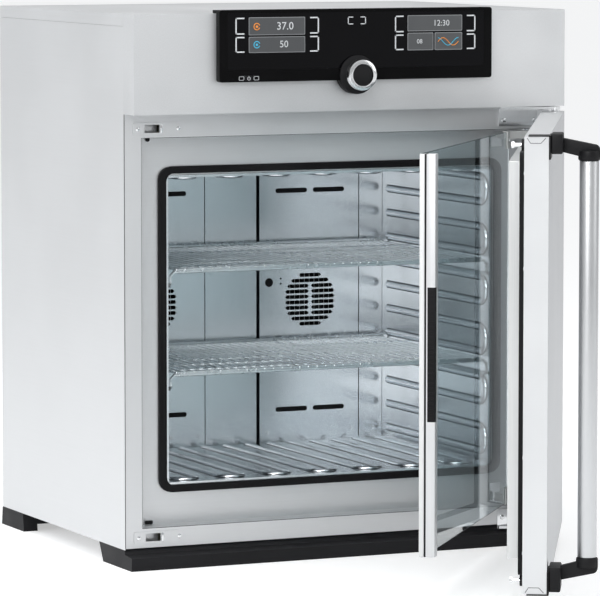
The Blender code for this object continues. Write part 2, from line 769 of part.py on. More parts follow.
def make_rear_rail():
    top = UNDERSIDE - GAP
    rail = box(
        "rear_foot_rail", (-REAR_RAIL_HALF, REAR_RAIL_FRONT, REAR_RAIL_BOTTOM), (REAR_RAIL_HALF,
         BODY_DEPTH, top))
    stub = [(REAR_RAIL_FRONT - OVERSHOOT, 0), (BODY_DEPTH + REAR_STUB_FLARE, 0), (BODY_DEPTH + OVERSHOOT,
        top - GAP),
            (REAR_RAIL_FRONT + OVERSHOOT, top - GAP)]
    for side in (-1, 1):
        inner = side * (REAR_RAIL_HALF - REAR_STUB_LAP)
        outer = side * HALF
        join(rail, plate("rear foot", [stub], "X", min(inner, outer), max(inner, outer)))
    return paint(rail, BLACK_PLASTIC)


# Chamber liner, five sheets that meet at the corners
def rib_path(start, width, bend, rear):
    points = [(rear, start)]
    middle = start + width / 2
    for k in range(RIB_BEND_STEPS + 1):
        turn = pi * k / RIB_BEND_STEPS
        points.append((bend + width / 2 * (1 - sin(turn)), middle - width / 2 * cos(turn)))
    points.append((rear, start + width))
    return points


def make_liner_side(name, side):
    inner = CHAMBER_HALF
    plan = [
        (inner, RECESS_DEPTH), (inner + LINER_RIM, RECESS_DEPTH), (inner + LINER_RIM, RECESS_DEPTH + LINER),
        (inner + LINER, RECESS_DEPTH + LINER), (inner + LINER, LINER_END), (inner, LINER_END)]
    plan = [(side * x, y) for x, y in plan]
    wall = plate(name, [plan], "Z", CHAMBER_BOTTOM - LINER_RIM, CHAMBER_TOP + LINER_RIM)
    ribs = []
    for pair in range(RIB_PAIRS):
        start = CHAMBER_BOTTOM + RIB_FIRST + pair * RIB_PAIR
        path = rib_path(start, RIB_PITCH, RECESS_DEPTH + RIB_FRONT, RIB_REAR)
        ribs.append(wire("rib", [(side * (inner + LINER / 2), y, z) for y, z in path], RIB_RADIUS))
    return paint(join(wall, gather("side ribs", ribs)), LINER_STEEL)


def make_liner_level(name, height, up):
    profile = [
        (RECESS_DEPTH, height), (RECESS_DEPTH, height - up * LINER_RIM),
        (RECESS_DEPTH + LINER, height - up * LINER_RIM), (RECESS_DEPTH + LINER, height - up * LINER),
        (LINER_END, height - up * LINER), (LINER_END, height)]
    level = plate(name, [profile], "X", -CHAMBER_HALF + GAP, CHAMBER_HALF - GAP)
    ribs = []
    for pair in range(FLOOR_RIB_PAIRS):
        start = (pair - (FLOOR_RIB_PAIRS - 1) / 2) * FLOOR_RIB_PITCH - FLOOR_RIB_WIDTH / 2
        path = rib_path(start, FLOOR_RIB_WIDTH, RECESS_DEPTH + FLOOR_RIB_FRONT, RIB_REAR)
        ribs.append(wire("rib", [(x, y, height - up * LINER / 2) for y, x in path], RIB_RADIUS))
    return paint(join(level, gather("level ribs", ribs)), LINER_STEEL)


def make_liner_back():
    half = CHAMBER_HALF - GAP
    back = plate(
        "liner_back", [rectangle(-half, half, CHAMBER_BOTTOM + GAP, CHAMBER_TOP - GAP)], "Y", BACK_SHEET,
        LINER_END)
    cut(back, cold_window("liner window", BACK_SHEET - OVERSHOOT, LINER_END + OVERSHOOT, GAP))
    motor_end = WHEEL_Y + WHEEL_WIDTH + WHEEL_DISC + 2 * GAP
    for side in (-1, 1):
        join(
            back,
            rod("motor", MOTOR_RADIUS, (side * FAN_X, motor_end, FAN_Z), (side * FAN_X, LINER_END - GAP,
                FAN_Z)),
            rod("spindle", SPINDLE_RADIUS, (side * FAN_X, WHEEL_Y - 2 * GAP, FAN_Z),
                (side * FAN_X, motor_end + OVERSHOOT, FAN_Z), 12))
    return paint(back, LINER_STEEL)


def make_chamber_gasket():
    inner = CHAMBER_HALF + CHAMBER_GASKET_SIDE
    outer = inner + CHAMBER_GASKET_WIDTH
    low = CHAMBER_BOTTOM - CHAMBER_GASKET_MARGIN
    high = CHAMBER_TOP + CHAMBER_GASKET_MARGIN + CHAMBER_GASKET_RISE
    width = CHAMBER_GASKET_WIDTH
    loops = [
        rounded(
            -outer, outer, low - width + CHAMBER_GASKET_RISE, high + width - CHAMBER_GASKET_RISE,
            CHAMBER_GASKET_RADIUS, 5),
        rounded(-inner, inner, low, high, CHAMBER_GASKET_RADIUS - width / 2, 5)]
    gasket = plate("chamber_gasket", loops, "Y", RECESS_DEPTH - CHAMBER_GASKET_PROUD, RECESS_DEPTH - GAP)
    return paint(gasket, DARK_RUBBER)


def make_insulation():
    half = INSIDE - SHEET - GAP
    front = RECESS_DEPTH + SHEET + GAP
    back = PAN_BACK - SHEET - GAP
    foam = box("insulation", (-half, front, UNDERSIDE + SHEET + GAP), (half, back, FOAM_TOP))
    room = CHAMBER_HALF + FOAM_CLEARANCE
    hollow = box(
        "foam hollow", (-room, front - OVERSHOOT, CHAMBER_BOTTOM - FOAM_CLEARANCE),
        (room, LINER_END + GAP, CHAMBER_TOP + FOAM_CLEARANCE))
    return paint(cut(foam, hollow, cold_window("foam window", LINER_END - OVERSHOOT, back + OVERSHOOT,
        GAP)), FOAM)


# Fan panels with their slotted grilles
def slot_plate(x_low, x_high, z, height, y_low, y_high):
    outline = rounded(x_low, x_high, z - height / 2, z + height / 2, height / 2.02, 1)
    return plate("slot", [outline], "Y", y_low, y_high)


def grille_cutter(x):
    y_low = CHAMBER_BACK - OVERSHOOT
    y_high = CHAMBER_BACK + SHEET + OVERSHOOT
    slots = []
    for row, length in enumerate(GRILLE_ROWS):
        for z in (FAN_Z + (row + 0.5) * GRILLE_PITCH, FAN_Z - (row + 0.5) * GRILLE_PITCH):
            spans = [(-length / 2, length / 2)]
            if length > GRILLE_SPLIT:
                spans = [(-length / 2, -GRILLE_WEB / 2), (GRILLE_WEB / 2, length / 2)]
            for low, high in spans:
                slots.append(slot_plate(x + low, x + high, z, GRILLE_SLOT, y_low, y_high))
    for z in (FAN_Z - DUCT_SLOT_RISE, FAN_Z + DUCT_SLOT_RISE):
        for side in (-1, 1):
            middle = x + side * DUCT_SLOT_OFFSET
            half = DUCT_SLOT_WIDTH / 2
            slots.append(slot_plate(middle - half, middle + half, z, GRILLE_SLOT, y_low, y_high))
    return gather("grille slots", slots)


def make_fan_panel(name, x_low, x_high, fan_x):
    panel = sheet_box(
        name, (x_low, CHAMBER_BACK, CHAMBER_BOTTOM + GAP), (x_high, CHAMBER_BACK + PANEL_RETURN,
            CHAMBER_TOP - GAP),
        [(0, 1, 0)])
    return paint(cut(panel, grille_cutter(fan_x)), LINER_STEEL)


def make_sensor_plug():
    front = CHAMBER_BACK + GAP
    plug = rod(
        "sensor_plug", SENSOR_RADIUS, (SENSOR_X, front, SENSOR_Z), (SENSOR_X, front + SENSOR_LENGTH,
         SENSOR_Z))
    return paint(plug, BLACK_PLASTIC)


# Fan wheels: blades and hub are one star outline, joined to a back disc.
def make_wheel(name, x, y, z):
    tip = WHEEL_RADIUS - BLADE_INSET
    half = BLADE_THICKNESS / 2
    star = []
    for blade in range(WHEEL_BLADES):
        turn = 2 * pi * blade / WHEEL_BLADES
        for radius, offset in ((WHEEL_HUB, -half), (tip, -half), (tip, half), (WHEEL_HUB, half)):
            star.append((x + radius * cos(turn) - offset * sin(turn),
                z + radius * sin(turn) + offset * cos(turn)))
    bore = circle(x, z, SPINDLE_RADIUS + RUN, 8)
    disc = plate(
        name, [circle(x, z, WHEEL_RADIUS), bore], "Y", y + WHEEL_WIDTH, y + WHEEL_WIDTH + WHEEL_DISC)
    blades = plate("wheel blades", [star, bore], "Y", y, y + WHEEL_WIDTH + WHEEL_DISC / 2)
    return paint(join(disc, blades), BLACK_PLASTIC)


# Wire shelf resting on one arm of the wall ribs
def bent(points, corner):
    path = []
    count = len(points)
    for k, place in enumerate(points):
        here = Vector(place)
        before = (Vector(points[k - 1]) - here).normalized()
        after = (Vector(points[(k + 1) % count]) - here).normalized()
        path.append(here + before * corner)
        path.append(here + after * corner)
    return path


def make_shelf(name, arm):
    edge = SHELF_HALF - SHELF_FRAME_WIRE
    aside = CHAMBER_HALF + LINER / 2 - edge
    reach = RIB_RADIUS + SHELF_FRAME_WIRE
    runner = CHAMBER_BOTTOM + RIB_FIRST + arm * RIB_PITCH + (reach ** 2 - aside ** 2) ** 0.5 + GAP
    step = SHELF_FRAME_WIRE + SHELF_WIRE - RUN
    front = runner + SHELF_DROP
    wires = front + step
    rear = wires + step
    frame = wire(name, bent([
        (-edge, SHELF_FRONT, runner), (-edge, SHELF_FRONT, front), (edge, SHELF_FRONT, front),
        (edge, SHELF_FRONT, runner), (edge, SHELF_REAR, runner), (edge, SHELF_REAR, rear),
        (-edge, SHELF_REAR, rear), (-edge, SHELF_REAR, runner)], SHELF_CORNER), SHELF_FRAME_WIRE, 1, True)
    last = edge - SHELF_SIDE_SPACE
    pitch = 2 * last / (SHELF_WIRES - 1)
    seam = SHELF_WIRE * 0.8
    grid = box(
        "grid wires", (-last - SHELF_WIRE, SHELF_FRONT - seam, wires - SHELF_WIRE),
        (last + SHELF_WIRE, SHELF_REAR + seam, wires + SHELF_WIRE))
    spaces = []
    for k in range(SHELF_WIRES - 1):
        left = -last + k * pitch + SHELF_WIRE
        spaces.append(box(
            "wire space", (left, SHELF_FRONT + seam, wires - 2 * SHELF_WIRE),
            (left + pitch - 2 * SHELF_WIRE, SHELF_REAR - seam, wires + 2 * SHELF_WIRE)))
    return paint(join(frame, cut(grid, gather("wire spaces", spaces))), BRIGHT)


# Cooling unit behind the rear panel
def comb(name, half, y_root, y_base, y_tips, fins, fin, z_low, z_high):
    outline = [(-half, y_root), (-half, y_base)]
    pitch = (2 * half - fin) / (fins - 1)
    for k in range(fins):
        left = -half + k * pitch
        if k:
            outline.append((left, y_base))
        outline.append((left, y_tips))
        outline.append((left + fin, y_tips))
        if k < fins - 1:
            outline.append((left + fin, y_base))
    outline.append((half, y_root))
    outline.pop(1)
    return plate(name, [outline], "Z", z_low, z_high)


def make_peltier_stack():
    stack = comb(
        "peltier_stack", COLD_BLOCK_HALF, SINK_ROOT - GAP, LINER_END + COLD_FIN_ROOT,
        LINER_END - COLD_FIN_REACH,
        COLD_FINS, COLD_FIN, COLD_BLOCK_BOTTOM, COLD_BLOCK_TOP)
    return paint(stack, ALUMINIUM)


def make_heat_sink():
    sink = comb(
        "rear_heat_sink", SINK_HALF, SINK_ROOT, SINK_ROOT + SINK_BASE, SINK_TIPS, SINK_FINS, SINK_FIN,
        SINK_BOTTOM, SINK_TOP)
    return paint(sink, ALUMINIUM)


def make_cooler_cover():
    cover = sheet_box(
        "cooler_cover", (-COOLER_HALF, REAR_FACE + GAP, COOLER_BOTTOM), (COOLER_HALF, COVER_REAR,
         COOLER_TOP),
        [(0, -1, 0)])
    slots = []
    keep = MOTOR_RADIUS + COOLER_MOTOR_MARGIN
    for side in (-1, 1):
        fan = side * COOLER_FAN_X
        for row in range(COOLER_SLOTS):
            rise = (row - (COOLER_SLOTS - 1) / 2) * COOLER_SLOT_PITCH
            reach = (COOLER_GRILLE_RADIUS ** 2 - rise ** 2) ** 0.5
            spans = [(-reach, reach)]
            if abs(rise) < keep + COOLER_SLOT / 2:
                spans = [(-reach, -keep), (keep, reach)]
            for low, high in spans:
                slots.append(slot_plate(
                    fan + low, fan + high, COOLER_FAN_Z + rise, COOLER_SLOT,
                    COVER_REAR - SHEET - OVERSHOOT, COVER_REAR + OVERSHOOT))
    cut(cover, gather("cooler slots", slots))
    motor_front = COOLER_WHEEL_Y + WHEEL_WIDTH + WHEEL_DISC + 2 * GAP
    for side in (-1, 1):
        fan = side * COOLER_FAN_X
        join(
            cover,
            rod("cooler motor", MOTOR_RADIUS, (fan, motor_front, COOLER_FAN_Z),
                (fan, COVER_REAR - GAP, COOLER_FAN_Z)),
            rod("cooler spindle", SPINDLE_RADIUS, (fan, COOLER_WHEEL_Y - 2 * GAP, COOLER_FAN_Z),
                (fan, motor_front + OVERSHOOT, COOLER_FAN_Z), 12))
    return paint(cover, BRUSHED)


def make_mains_inlet():
    half_x = INLET_WIDTH / 2
    half_z = INLET_HEIGHT / 2
    body = box(
        "mains_inlet", (INLET_X - half_x, REAR_INNER - INLET_DEPTH, INLET_Z - half_z),
        (INLET_X + half_x, REAR_FACE + INLET_PROUD, INLET_Z + half_z))
    flange = box(
        "inlet flange", (INLET_X - half_x - INLET_FLANGE, REAR_FACE + GAP, INLET_Z - half_z - INLET_FLANGE),
        (INLET_X + half_x + INLET_FLANGE, REAR_FACE + INLET_FLANGE_THICKNESS,
         INLET_Z + half_z + INLET_FLANGE))
    socket = box(
        "inlet socket", (INLET_X - half_x + INLET_WALL, REAR_FACE - INLET_SOCKET,
         INLET_Z - half_z + INLET_WALL),
        (INLET_X + half_x - INLET_WALL, REAR_FACE + 2 * INLET_FLANGE_THICKNESS,
         INLET_Z + half_z - INLET_WALL))
    return paint(cut(join(body, flange), socket), BLACK_PLASTIC)


# Control unit
def make_fascia():
    fascia = sheet_box(
        "control_fascia", (-HALF, FASCIA_FRONT, FASCIA_BOTTOM), (HALF, 0, CASE_HEIGHT), [(0, 1, 0)])
    shaft_hole = rod(
        "fascia shaft hole", SHAFT_RADIUS + RUN, (KNOB_X, FASCIA_FRONT - OVERSHOOT, KNOB_Z),
        (KNOB_X, FASCIA_FRONT + SHEET + OVERSHOOT, KNOB_Z), 16)
    cable_hole = box(
        "cable hole", (-CABLE_HOLE_HALF, FASCIA_FRONT - OVERSHOOT, DISPLAY_BOTTOM),
        (CABLE_HOLE_HALF, FASCIA_FRONT + SHEET + OVERSHOOT, DISPLAY_BOTTOM + CABLE_HOLE_HEIGHT))
    return paint(cut(fascia, shaft_hole, cable_hole), LINEN)


def make_bezel():
    outline = rounded(-BEZEL_HALF, BEZEL_HALF, BEZEL_BOTTOM, BEZEL_TOP, BEZEL_CORNER)
    bezel = plate("control_bezel", [outline], "Y", BEZEL_FRONT, BEZEL_BACK)
    lip = box(
        "bezel lip", (-BEZEL_HALF + BEZEL_LIP_INSET, BEZEL_FRONT + BEZEL_LIP_SETBACK, CASE_HEIGHT + GAP),
        (BEZEL_HALF - BEZEL_LIP_INSET, BEZEL_FRONT + BEZEL_LIP_REACH, BEZEL_TOP - GAP))
    boss = rod(
        "knob boss", KNOB_DISC_RADIUS, (KNOB_X, BEZEL_FRONT + GAP, KNOB_Z), (KNOB_X, BEZEL_BACK - GAP,
         KNOB_Z), 40)
    window = plate(
        "bezel window", [rounded(-WINDOW_HALF, WINDOW_HALF, WINDOW_BOTTOM, WINDOW_TOP, BEZEL_CORNER / 2)],
        "Y",
        BEZEL_FRONT - OVERSHOOT, BEZEL_BACK + GAP)
    shaft_hole = rod(
        "bezel shaft hole", SHAFT_RADIUS + RUN, (KNOB_X, BEZEL_FRONT - OVERSHOOT, KNOB_Z),
        (KNOB_X, BEZEL_BACK + OVERSHOOT, KNOB_Z), 16)
    key_hole = box(
        "key hole", (KEY_X - KEY_WIDTH / 2 - GAP, BEZEL_FRONT - OVERSHOOT, KEY_Z - KEY_HEIGHT / 2 - GAP),
        (KEY_X + KEY_WIDTH / 2 + GAP, BEZEL_BACK + OVERSHOOT, KEY_Z + KEY_HEIGHT / 2 + GAP))
    return paint(cut(join(bezel, lip, boss), window, shaft_hole, key_hole), BLACK_PLASTIC)


def make_window_glass():
    front = BEZEL_FRONT + GAP
    outline = rounded(
        -WINDOW_HALF + GAP, WINDOW_HALF - GAP, WINDOW_BOTTOM + GAP, WINDOW_TOP - GAP, BEZEL_CORNER / 2)
    return paint(plate("control_glass", [outline], "Y", front, front + WINDOW_GLASS), GLOSS_BLACK)


def make_board():
    margin = 2 * GAP
    board = box(
        "control_board", (-WINDOW_HALF + margin, BEZEL_BACK - BOARD_THICKNESS, WINDOW_BOTTOM + 2 * margin),
        (WINDOW_HALF - margin, BEZEL_BACK, WINDOW_TOP - 2 * margin))
    front = BEZEL_FRONT + WINDOW_GLASS + 2 * GAP
    for low, high in (DISPLAY_LEFT, DISPLAY_RIGHT):
        join(board, box(
            "display", (low, front, DISPLAY_BOTTOM), (high, BEZEL_BACK - BOARD_THICKNESS / 2, DISPLAY_TOP)))
    return paint(board, BOARD)


def make_knob_base():
    loops = [circle(KNOB_X, KNOB_Z, KNOB_DISC_RADIUS, 40), circle(KNOB_X, KNOB_Z, SHAFT_RADIUS + RUN, 16)]
    return paint(plate("knob_base", loops, "Y", DISC_FRONT, BEZEL_FRONT - GAP), BLACK_PLASTIC)


def make_knob_shaft():
    inside = FASCIA_FRONT + SHEET + GAP
    shaft = rod(
        "knob_shaft", SHAFT_RADIUS, (KNOB_X, RING_BACK - RING_WEB, KNOB_Z), (KNOB_X, inside + SHAFT_END,
         KNOB_Z), 16)
    collar = rod(
        "shaft collar", SHAFT_COLLAR, (KNOB_X, inside, KNOB_Z), (KNOB_X, inside + SHAFT_COLLAR_LENGTH,
         KNOB_Z), 16)
    return paint(join(shaft, collar), BRIGHT)


def make_knob_ring():
    depth = KNOB_RING_DEPTH
    outer = KNOB_RING_RADIUS
    inner = KNOB_CAP_RADIUS + GAP
    bore = SHAFT_RADIUS + GAP
    ring = turned("knob_ring", [
        (bore, RING_WEB), (inner, RING_WEB), (inner, depth),
        (outer - KNOB_RING_CHAMFER, depth), (outer, depth - KNOB_RING_CHAMFER),
        (outer, 0), (bore, 0), (bore, RING_WEB)], 40)
    ring.location = (KNOB_X, RING_BACK, KNOB_Z)
    ring.rotation_euler = (radians(90), 0, 0)
    return paint(ring, BRIGHT)


def make_knob_cap():
    back = RING_BACK - RING_WEB - GAP
    front = RING_BACK - KNOB_RING_DEPTH + KNOB_CAP_DISH
    return paint(rod("knob_cap", KNOB_CAP_RADIUS, (KNOB_X, front, KNOB_Z), (KNOB_X, back, KNOB_Z), 40),
        BLACK_PLASTIC)


def make_power_key():
    key = box(
        "power_key", (KEY_X - KEY_WIDTH / 2, BEZEL_FRONT, KEY_Z - KEY_HEIGHT / 2),
        (KEY_X + KEY_WIDTH / 2, BEZEL_BACK - KEY_TRAVEL - 2 * GAP, KEY_Z + KEY_HEIGHT / 2))
    return paint(key, BLACK_PLASTIC)


# Main door, closed
def make_door_shell():
    lip = DOOR_GASKET_HALF - DOOR_GASKET_WIDTH
    shell = loft("door_outer_shell", [
        (-lip, lip, DOOR_GASKET_BOTTOM + DOOR_GASKET_WIDTH, DOOR_GASKET_TOP - DOOR_GASKET_WIDTH,
         -DOOR_INNER),
        (-HALF, HALF, DOOR_BOTTOM, DOOR_TOP, -DOOR_INNER),
        (-HALF, HALF, DOOR_BOTTOM, DOOR_TOP, -DOOR_OUTER)], cap_last=True)
    thicken(shell, SHEET)
    for z in (DOOR_BOTTOM, DOOR_TOP):
        cut(shell, rod(
            "hinge hole", HINGE_PIN_RADIUS + RUN, (DOOR_AXIS_X, DOOR_AXIS_Y, z - 2 * OVERSHOOT),
            (DOOR_AXIS_X, DOOR_AXIS_Y, z + 2 * OVERSHOOT), 16))
    for z in (LATCH_UPPER_Z, LATCH_LOWER_Z):
        cut(shell, rod(
            "bush hole", LATCH_BUSH_RADIUS + GAP, (LATCH_X, -DOOR_OUTER - OVERSHOOT, z),
            (LATCH_X, -DOOR_INNER + OVERSHOOT, z), 20))
    return paint(shell, BRUSHED)


def make_door_pan():
    flange = DOOR_GASKET_HALF - DOOR_GASKET_WIDTH - GAP
    flange_low = DOOR_GASKET_BOTTOM + DOOR_GASKET_WIDTH + GAP
    flange_high = DOOR_GASKET_TOP - DOOR_GASKET_WIDTH - GAP
    pan = loft("door_inner_pan", [
        (-DOOR_PAN_HALF, DOOR_PAN_HALF, DOOR_PAN_BOTTOM, DOOR_PAN_TOP, DOOR_PAN_REACH),
        (-DOOR_PAN_HALF, DOOR_PAN_HALF, DOOR_PAN_BOTTOM, DOOR_PAN_TOP, -DOOR_INNER),
        (-flange, flange, flange_low, flange_high, -DOOR_INNER)], cap_first=True)
    add_bevel(pan, DOOR_EDGE_RADIUS)
    return paint(thicken(pan, SHEET), PALE_PLASTIC)


def make_door_gasket():
    outer = DOOR_GASKET_HALF
    inner = outer - DOOR_GASKET_WIDTH
    loops = [
        rounded(-outer, outer, DOOR_GASKET_BOTTOM, DOOR_GASKET_TOP, 0.008),
        rounded(-inner, inner, DOOR_GASKET_BOTTOM + DOOR_GASKET_WIDTH,
            DOOR_GASKET_TOP - DOOR_GASKET_WIDTH, 0.003)]
    return paint(plate("door_gasket", loops, "Y", -DOOR_INNER + GAP, -GAP), DARK_RUBBER)


def make_hinge_bracket(name, leg_low, leg_high, arm_low, door_face, up):
    leg = box(name, (HINGE_LEG_FROM, -GAP - HINGE_LEG, leg_low), (HALF - HINGE_LEG_INSET, -GAP, leg_high))
    round_end = [
        (DOOR_AXIS_X + HINGE_ARM_HALF * cos(radians(a)), DOOR_AXIS_Y + HINGE_ARM_HALF * sin(radians(a)))
        for a in range(0, -136, -15)]
    outline = [
        (HINGE_LEG_FROM + GAP, -2 * GAP), (HALF - HINGE_LEG_INSET - GAP, -2 * GAP), *round_end,
        (HINGE_LEG_FROM + GAP, -HINGE_ARM_DEPTH)]
    arm = plate("hinge arm", [outline], "Z", arm_low, arm_low + HINGE_ARM)
    seat = door_face + up * GAP
    arm_middle = arm_low + HINGE_ARM / 2
    collar = rod(
        "hinge collar", HINGE_KNOB_RADIUS, (DOOR_AXIS_X, DOOR_AXIS_Y, arm_middle), (DOOR_AXIS_X,
         DOOR_AXIS_Y, seat), 20)
    pin = rod(
        "hinge pin", HINGE_PIN_RADIUS, (DOOR_AXIS_X, DOOR_AXIS_Y, arm_middle),
        (DOOR_AXIS_X, DOOR_AXIS_Y, seat - up * HINGE_PIN_DEPTH), 16)
    return paint(join(leg, arm, collar, pin), BRIGHT)


# Latch blocks: one moulding holds the pocket for the handle arm, the bush and the corner cap.
def make_latch_block(name, pin_z, low, high, arm_z):
    block = box(name, (LATCH_BLOCK_FROM, BLOCK_FACE, low), (LATCH_BLOCK_TO, -DOOR_OUTER - GAP, high))
    cap = box(
        "corner cap", (LATCH_BLOCK_FROM - CORNER_CAP_PROUD, -DOOR_OUTER - CORNER_CAP_LAP, low + GAP),
        (-HALF - GAP, -DOOR_OUTER + CORNER_CAP_REACH, high - GAP))
    bush = rod(
        "latch bush", LATCH_BUSH_RADIUS, (LATCH_X, -DOOR_OUTER - LATCH_BUSH_ROOT, pin_z),
        (LATCH_X, -LATCH_BUSH_END, pin_z), 20)
    spread = tan(radians(LATCH_SWING))
    play = LATCH_PIN_RADIUS + RUN
    rear = play + LATCH_BORE_SPACE
    mouth = play - spread * LATCH_PIVOT_Y
    bore_profile = [
        (LATCH_X - rear, LATCH_PIVOT_Y - LATCH_BORE_REAR), (LATCH_X + rear,
         LATCH_PIVOT_Y - LATCH_BORE_REAR),
        (LATCH_X + rear, LATCH_PIVOT_Y + LATCH_BORE_STEP), (LATCH_X + mouth, LATCH_BORE_END),
        (LATCH_X - mouth, LATCH_BORE_END), (LATCH_X - rear, LATCH_PIVOT_Y + LATCH_BORE_STEP)]
    bore = plate("latch bore", [bore_profile], "Z", pin_z - play, pin_z + play)
    pocket = box(
        "arm pocket", (HANDLE_X - POCKET_HALF, BLOCK_FACE - OVERSHOOT, arm_z - POCKET_HEIGHT),
        (HANDLE_X + POCKET_HALF, -DOOR_OUTER - POCKET_FLOOR, arm_z + POCKET_HEIGHT))
    pivot_hole = rod(
        "pivot hole", LATCH_PIN_RADIUS + RUN, (HANDLE_X, HANDLE_PIVOT_Y,
         arm_z - POCKET_HEIGHT - PIVOT_HOLE_DEPTH),
        (HANDLE_X, HANDLE_PIVOT_Y, arm_z + POCKET_HEIGHT + PIVOT_HOLE_DEPTH), 16)
    return paint(cut(join(block, bush, cap), bore, pocket, pivot_hole), BLACK_PLASTIC)


def make_latch_pin(name, z):
    pin = rod(name, LATCH_PIN_RADIUS, (LATCH_X, LATCH_PIVOT_Y - LATCH_PIN_TAIL, z), (LATCH_X, LATCH_TIP_Y,
        z), 12)
    barrel = rod(
        "pin barrel", LATCH_PIN_RADIUS + LATCH_BARREL, (LATCH_X, LATCH_PIVOT_Y, z - LATCH_PIN_RADIUS - GAP),
        (LATCH_X, LATCH_PIVOT_Y, z + LATCH_PIN_RADIUS + GAP), 12)
    head = rod(
        "pin head", LATCH_HEAD_RADIUS, (LATCH_X, LATCH_TIP_Y - LATCH_HEAD, z), (LATCH_X,
         LATCH_TIP_Y + GAP, z), 16)
    return paint(join(pin, barrel, head), BRIGHT)


# Handle: a tube between two sloping arms
def make_handle_tube():
    outer = HANDLE_RADIUS
    inner = HANDLE_RADIUS - HANDLE_TUBE_WALL
    height = HANDLE_TOP - HANDLE_BOTTOM
    tube = turned(
        "handle_tube", [(inner, height), (outer, height), (outer, 0), (inner, 0), (inner, height)], 32)
    tube.location = (HANDLE_X, HANDLE_Y, HANDLE_BOTTOM)
    return paint(tube, BRIGHT)


def make_handle_arm(name, tube_end, up, root):
    tip = tube_end + up * (HANDLE_SOCKET_HEIGHT / 2 + GAP)
    half = HANDLE_ARM_HEIGHT / 2
    bend = HANDLE_Y + HANDLE_SOCKET_RADIUS
    profile = [
        (HANDLE_PIVOT_Y + HANDLE_ARM_ROOT, root - half), (HANDLE_PIVOT_Y + HANDLE_ARM_ROOT, root + half),
        (BLOCK_FACE - HANDLE_ARM_STRAIGHT, root + half), (bend, tip + half), (HANDLE_Y, tip + half),
        (HANDLE_Y, tip - half), (bend, tip - half), (BLOCK_FACE - HANDLE_ARM_STRAIGHT, root - half)]
    arm = plate(
        name, [profile], "X", HANDLE_X - HANDLE_ARM_WIDTH / 2, HANDLE_X + HANDLE_ARM_WIDTH / 2)
    near = tube_end + up * GAP
    far = tube_end + up * HANDLE_SOCKET_HEIGHT
    socket = rod("handle socket", HANDLE_SOCKET_RADIUS, (HANDLE_X, HANDLE_Y, near), (HANDLE_X, HANDLE_Y,
        far), 24)
    spigot = rod(
        "tube spigot", HANDLE_RADIUS - HANDLE_TUBE_WALL - GAP, (HANDLE_X, HANDLE_Y,
         tube_end - up * HANDLE_SPIGOT),
        (HANDLE_X, HANDLE_Y, tube_end + up * HANDLE_SOCKET_FLOOR), 20)
    pivot = rod(
        "handle pivot", LATCH_PIN_RADIUS, (HANDLE_X, HANDLE_PIVOT_Y, root - POCKET_HEIGHT - OVERSHOOT),
        (HANDLE_X, HANDLE_PIVOT_Y, root + POCKET_HEIGHT + OVERSHOOT), 12)
    return paint(join(arm, socket, spigot, pivot), BLACK_PLASTIC)


# Glass door, closed
def make_glass_pane():
    return paint(box(
        "glass_pane", (-GLASS_HALF, GLASS_FRONT, GLASS_BOTTOM), (GLASS_HALF, GLASS_BACK, GLASS_TOP)),
         CLEAR_GLASS)


def make_edge_profile():
    outer = -RAIL_FROM
    inner = -RAIL_TO
    stop = -GLASS_HALF - GAP
    plan = [
        (outer, CHANNEL_BACK), (outer, CHANNEL_FRONT), (outer + RAIL_GROOVE, CHANNEL_FRONT),
        (outer + RAIL_GROOVE, RAIL_BACK), (outer, RAIL_BACK), (outer, RAIL_FRONT), (inner, RAIL_FRONT),
        (inner, GLASS_FRONT - GAP), (stop, GLASS_FRONT - GAP), (stop, GLASS_BACK + GAP),
        (inner, GLASS_BACK + GAP), (inner, CHANNEL_BACK)]
    profile = plate("glass_edge_profile", [plan], "Z", GLASS_BOTTOM, GLASS_TOP)
    pocket = box(
        "grip pocket", (outer - OVERSHOOT, RAIL_FRONT - OVERSHOOT, GRIP_BOTTOM - GAP),
        (outer + GRIP_DEPTH, RAIL_BACK - CHANNEL_WALL, GRIP_TOP + GAP))
    return paint(cut(profile, pocket), PALE_PLASTIC)


def make_grip():
    return paint(box(
        "glass_grip", (-RAIL_FROM - GRIP_PROUD, RAIL_FRONT - GRIP_PROUD, GRIP_BOTTOM),
        (-RAIL_FROM + GRIP_DEPTH - GAP, RAIL_BACK - CHANNEL_WALL - GAP, GRIP_TOP)), DARK_RUBBER)


